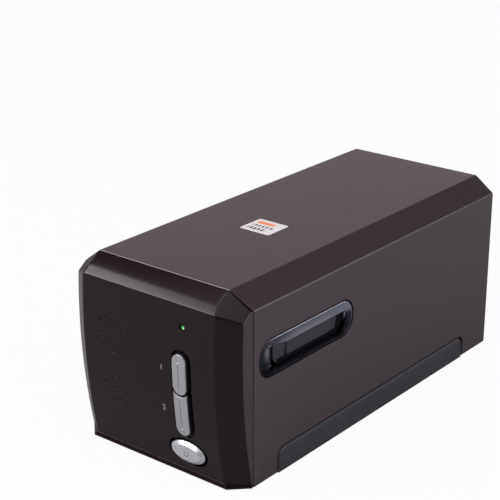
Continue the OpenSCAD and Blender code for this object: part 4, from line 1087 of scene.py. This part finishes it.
def make_power_mark(sizes):
    """A thin raised ring on the power button, open at the top."""
    x, front, z = sizes.key_x, key_front(sizes), sizes.power_z - 0.4 * MM
    start, end = 125, 415
    outer = arc_points(x, z, 1.8 * MM, start, end, 40)
    inner = arc_points(x, z, 1.4 * MM, end, start, 40)
    piece = add_prism("power_mark", outer + inner, front, front - 0.06 * MM)
    return stand_up(follow_face(piece, sizes), sizes)


def make_number(name, digit, sizes, centre_z):
    """A plain printed number on the face beside a scan button, as a thin raised film."""
    bpy.ops.object.select_all(action="DESELECT")
    bpy.ops.object.text_add()
    text = bpy.context.view_layer.objects.active.data
    text.body = digit
    text.size = 4.76 * MM
    text.align_x = "CENTER"
    text.align_y = "CENTER"
    text.extrude = 0.03 * MM
    bpy.ops.object.convert(target="MESH")
    piece = named(name)
    place = Matrix.Translation((sizes.key_x - 14.5 * MM, FRONT_Y - 0.02 * MM, centre_z))
    piece.data.transform(place @ Matrix.Rotation(math.pi / 2, 4, "X"))
    return follow_face(piece, sizes)


def make_light():
    """Clear light pipe with a domed end, just inside its hole."""
    low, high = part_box("light_pipe")
    x, z = (low.x + high.x) / 2, (low.z + high.z) / 2
    r = (high.x - low.x) / 2
    piece = add_rod("status_light", (x, high.y, z), (x, low.y + 0.9 * MM, z), r, 32)
    dome = ((0.05, 0.25 * MM), (0.15, 0.25 * MM), (0.3, 0.15 * MM), (0.3, 0.05 * MM))
    step_face(piece, (0, -1, 0), [(r * share, advance) for share, advance in dome])
    return polish(piece, 50)


def make_foot(sizes):
    """Rubber strip with a bowed outer face, and the flat foot under it."""
    low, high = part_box("right_foot_strip")
    outline = foot_outline(low.y, high.y, 0, sizes.foot_h, sizes.foot_r)
    piece = add_prism("right_foot_rubber", outline, SIDE_X - 1.9 * MM, high.x - sizes.foot_crown, "X")
    step_face(piece, (1, 0, 0), round_steps(4.2 * MM, 8, sizes.foot_crown))
    under = add_box("under", (low.x, low.y, HAIR), (high.x - 0.5 * MM, high.y, BASE_Z - HAIR))
    return polish(combine(piece, under, "UNION"))


def make_label():
    """Thin film with a fine bevel round it."""
    low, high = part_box("top_label")
    outline = frame_outline((low.x, low.y), (high.x, high.y), [1.2 * MM] * 4, 2, 6)
    bevel_w, bevel_h = 0.05 * MM, 0.04 * MM
    piece = add_prism("top_label_film", outline, low.z, high.z - bevel_h, "Z")
    return polish(step_face(piece, (0, 0, 1), [(bevel_w, bevel_h)]))


# ---- the stage ----

CAMERA_PLACE = Vector((0.4964, -0.6588, 0.4087))
CAMERA_AZIMUTH = 38.88
CAMERA_PITCH = 20.92
CAMERA_LENS = 102.17
LAMP_AIM = Vector((0, 0, 0.06))
# how light the floor is to the lamps, and how much of its look in the picture is plain white
FLOOR_ALBEDO = 0.43
FLOOR_WHITE = 0.96
WHITE = (1, 1, 1, 1)


def make_camera(scene):
    camera = bpy.data.cameras.new("camera")
    camera.lens = CAMERA_LENS
    camera.sensor_width = 36
    camera.clip_start = 0.05
    camera.clip_end = 20
    holder = bpy.data.objects.new("camera", camera)
    scene.collection.objects.link(holder)
    azimuth, pitch = math.radians(CAMERA_AZIMUTH), math.radians(CAMERA_PITCH)
    level = math.cos(pitch)
    looking = Vector((-math.sin(azimuth) * level, math.cos(azimuth) * level, -math.sin(pitch)))
    holder.location = CAMERA_PLACE
    holder.rotation_euler = looking.to_track_quat("-Z", "Y").to_euler()
    scene.camera = holder


def make_floor():
    floor = added("floor", bpy.ops.mesh.primitive_circle_add, vertices=96, radius=4, fill_type="NGON",
                  location=(0, 0, -0.2 * MM))
    f = Finish("floor_white")
    ray = f.node("LightPath", output="Is Camera Ray")
    lit = f.node("BsdfDiffuse", None, {"Color": (FLOOR_ALBEDO, FLOOR_ALBEDO, FLOOR_ALBEDO, 1)})
    white = f.node("Emission", None, {"Color": WHITE, "Strength": 1.0})
    f.node("OutputMaterial", None, {
        "Surface": f.node("MixShader", None, {0: ray * FLOOR_WHITE, 1: lit, 2: white})})
    floor.data.materials.append(f.holder)


def soft_box(scene, name, place, size, radiance, tint=(1, 1, 1)):
    """A rectangular light that looks equally bright from everywhere in front of it."""
    width, height = size
    lamp = bpy.data.lights.new(name, "AREA")
    lamp.shape = "RECTANGLE"
    lamp.size = width
    lamp.size_y = height
    lamp.energy = math.pi * width * height * radiance
    lamp.color = tint
    holder = bpy.data.objects.new(name, lamp)
    scene.collection.objects.link(holder)
    holder.location = place
    holder.rotation_euler = (LAMP_AIM - Vector(place)).to_track_quat("-Z", "Y").to_euler()


def make_lights(scene):
    soft_box(scene, "overhead", (0, -0.30, 1.25), size=(1.4, 0.9), radiance=2.1, tint=(1.0, 0.94, 0.90))
    soft_box(scene, "left", (-0.60, -0.79, 0.69), size=(0.90, 0.40), radiance=9.5, tint=(0.98, 0.95, 1.0))
    soft_box(scene, "horizon", (-1.10, 1.35, 0.62), size=(1.7, 0.9), radiance=0.52, tint=(1.0, 0.84, 0.85))
    soft_box(scene, "right", (1.30, 0.10, 0.72), size=(1.5, 1.1), radiance=2.7, tint=(0.77, 0.79, 0.94))
    soft_box(scene, "edge", (0.98, 1.0, 0.46), size=(0.7, 0.30), radiance=4.0)


def make_world(scene):
    """Dim grey for the reflections, plain white behind the scanner in the picture."""
    f = Finish("studio", bpy.data.worlds.new("studio"))
    ray = f.node("LightPath", output="Is Camera Ray")
    dim = f.node("Background", None, {"Color": (0.12, 0.12, 0.125, 1)})
    white = f.node("Background", None, {"Color": WHITE})
    f.node("OutputWorld", None, {"Surface": f.node("MixShader", None, {0: ray, 1: dim, 2: white})})
    scene.world = f.holder


# ---- operators ----

class SCANNER_OT_finishes(bpy.types.Operator):
    """Make the materials and put them on every frame node"""
    bl_idname = "scanner.finishes"
    bl_label = "Finishes"

    def execute(self, context):
        make_finishes(context.scene.scanner_colours)
        for part in frame["record"]["subparts"]:
            materials = NODES[part["node"]].data.materials
            materials.clear()
            materials.append(FINISHES[part["material_slot"]])
        return {"FINISHED"}


class SCANNER_OT_casing(bpy.types.Operator):
    """Model the cover, the front panel and the rear panel"""
    bl_idname = "scanner.casing"
    bl_label = "Casing"

    def execute(self, context):
        sizes = context.scene.scanner_sizes
        dress(make_front_panel(sizes), "panel_plastic", stands_for="front_panel")
        dress(make_cover(sizes), "cover_plastic", stands_for="top_cover")
        dress(make_rear_panel(sizes), "panel_plastic", stands_for="rear_panel")
        return {"FINISHED"}


class SCANNER_OT_slots(bpy.types.Operator):
    """Model the slot surrounds, the near-black sheets of painted shade in their gaps and on the dust doors,
    and the dust doors
    """
    bl_idname = "scanner.slots"
    bl_label = "Film holder slots"

    def execute(self, context):
        sizes = context.scene.scanner_sizes
        right = make_bezel(sizes)
        left = mirrored(right, "left_slot_surround")
        dress(right, "bezel_plastic", stands_for="right_slot_bezel")
        dress(left, "bezel_plastic", stands_for="left_slot_bezel")
        # a near-black sheet in the gap round each surround: painted shade
        gap_shade = make_gap_shade_sheet(sizes)
        dress(mirrored(gap_shade, "left_slot_gap_shade"), "door_felt")
        dress(gap_shade, "door_felt")
        for hand in ("right", "left"):
            door = make_door(sizes, hand)
            dress(door, "door_plastic", body=f"{hand}_door", stands_for=f"{hand}_dust_door")
        # near-black sheets on the doors' lower edges and rear ends: painted shade
        for hand in ("right", "left"):
            dress(make_door_painted_shade(sizes, hand), "door_felt", f"{hand}_door")
        return {"FINISHED"}


class SCANNER_OT_controls(bpy.types.Operator):
    """Model the buttons, the status light and the printed marks"""
    bl_idname = "scanner.controls"
    bl_label = "Controls"

    def execute(self, context):
        sizes = context.scene.scanner_sizes
        outlines = key_outlines(sizes)
        low, split, top = sizes.key_bottom_z, sizes.key_split_z, sizes.key_top_z
        middle = {"upper": (top + split) / 2, "lower": (split + low) / 2}
        lines = {"upper": (split + 3 * MM, top - 6.2 * MM, top - 4.4 * MM),
                 "lower": (low + 6.6 * MM, split - 3 * MM, low + 4.6 * MM)}
        cap_t = 1.0 * MM
        for which in ("upper", "lower"):
            node, body, outline = f"{which}_scan_button", f"{which}_key", outlines[which]
            cap = make_key_cap(f"{which}_key_cap", sizes, outline, round_steps(0.4 * MM), cap_t)
            engrave_key(cap, sizes, *lines[which])
            dress(polish(cap, 30), "button_silver", body=body, stands_for=node)
            back = make_key_body(f"{which}_key_body", sizes, outline, cap_t, middle[which], node)
            dress(back, "chip_black", body=body)
        outline = outlines["power"]
        cap_t = 2.2 * MM
        cap = stand_up(make_key_cap("power_key_cap", sizes, outline, POWER_RIM, cap_t), sizes)
        # the power cap takes the lightened copy of the silver paint: painted light
        dress(polish(cap, 25), "power_silver_painted_light", "power_key", "power_button")
        back = make_key_body("power_key_body", sizes, outline, cap_t, sizes.power_z, "power_button")
        dress(back, "chip_black", body="power_key")
        dress(make_light(), "light_green", stands_for="light_pipe")
        for digit, which in (("1", "upper"), ("2", "lower")):
            dress(make_number(f"{which}_number", digit, sizes, middle[which]), "mark_ink")
        dress(make_power_mark(sizes), "mark_grey", "power_key")
        return {"FINISHED"}


class SCANNER_OT_trim(bpy.types.Operator):
    """Model the foot strips and the label"""
    bl_idname = "scanner.trim"
    bl_label = "Feet and label"

    def execute(self, context):
        right = make_foot(context.scene.scanner_sizes)
        left = mirrored(right, "left_foot_rubber")
        dress(right, "foot_rubber", stands_for="right_foot_strip")
        dress(left, "foot_rubber", stands_for="left_foot_strip")
        dress(make_label(), "label_paper", stands_for="top_label")
        return {"FINISHED"}


class SCANNER_OT_stage(bpy.types.Operator):
    """Set up the camera, the floor and the studio light"""
    bl_idname = "scanner.stage"
    bl_label = "Stage"

    def execute(self, context):
        make_camera(context.scene)
        make_floor()
        make_lights(context.scene)
        make_world(context.scene)
        context.scene.view_settings.view_transform = "Standard"
        return {"FINISHED"}


class SCANNER_PT_panel(bpy.types.Panel):
    """Lists the scanner's operators"""
    bl_idname = "SCANNER_PT_panel"
    bl_label = "Film scanner"
    bl_space_type = "VIEW_3D"
    bl_region_type = "UI"
    bl_category = "Scanner"

    def draw(self, context):
        for operator in OPERATORS:
            self.layout.operator(operator.bl_idname)


OPERATORS = (SCANNER_OT_finishes, SCANNER_OT_casing, SCANNER_OT_slots, SCANNER_OT_controls, SCANNER_OT_trim,
             SCANNER_OT_stage)
CLASSES = (ScannerSizes, ScannerColours, *OPERATORS, SCANNER_PT_panel)


def register():
    for cls in CLASSES:
        bpy.utils.register_class(cls)
    bpy.types.Scene.scanner_sizes = bpy.props.PointerProperty(type=ScannerSizes)
    bpy.types.Scene.scanner_colours = bpy.props.PointerProperty(type=ScannerColours)


def unregister():
    del bpy.types.Scene.scanner_colours
    del bpy.types.Scene.scanner_sizes
    for cls in reversed(CLASSES):
        bpy.utils.unregister_class(cls)


def main():
    register()
    bpy.ops.scanner.stage()
    bpy.ops.scanner.finishes()
    bpy.ops.scanner.casing()
    bpy.ops.scanner.slots()
    bpy.ops.scanner.controls()
    bpy.ops.scanner.trim()


if __name__ == "__main__":
    main()
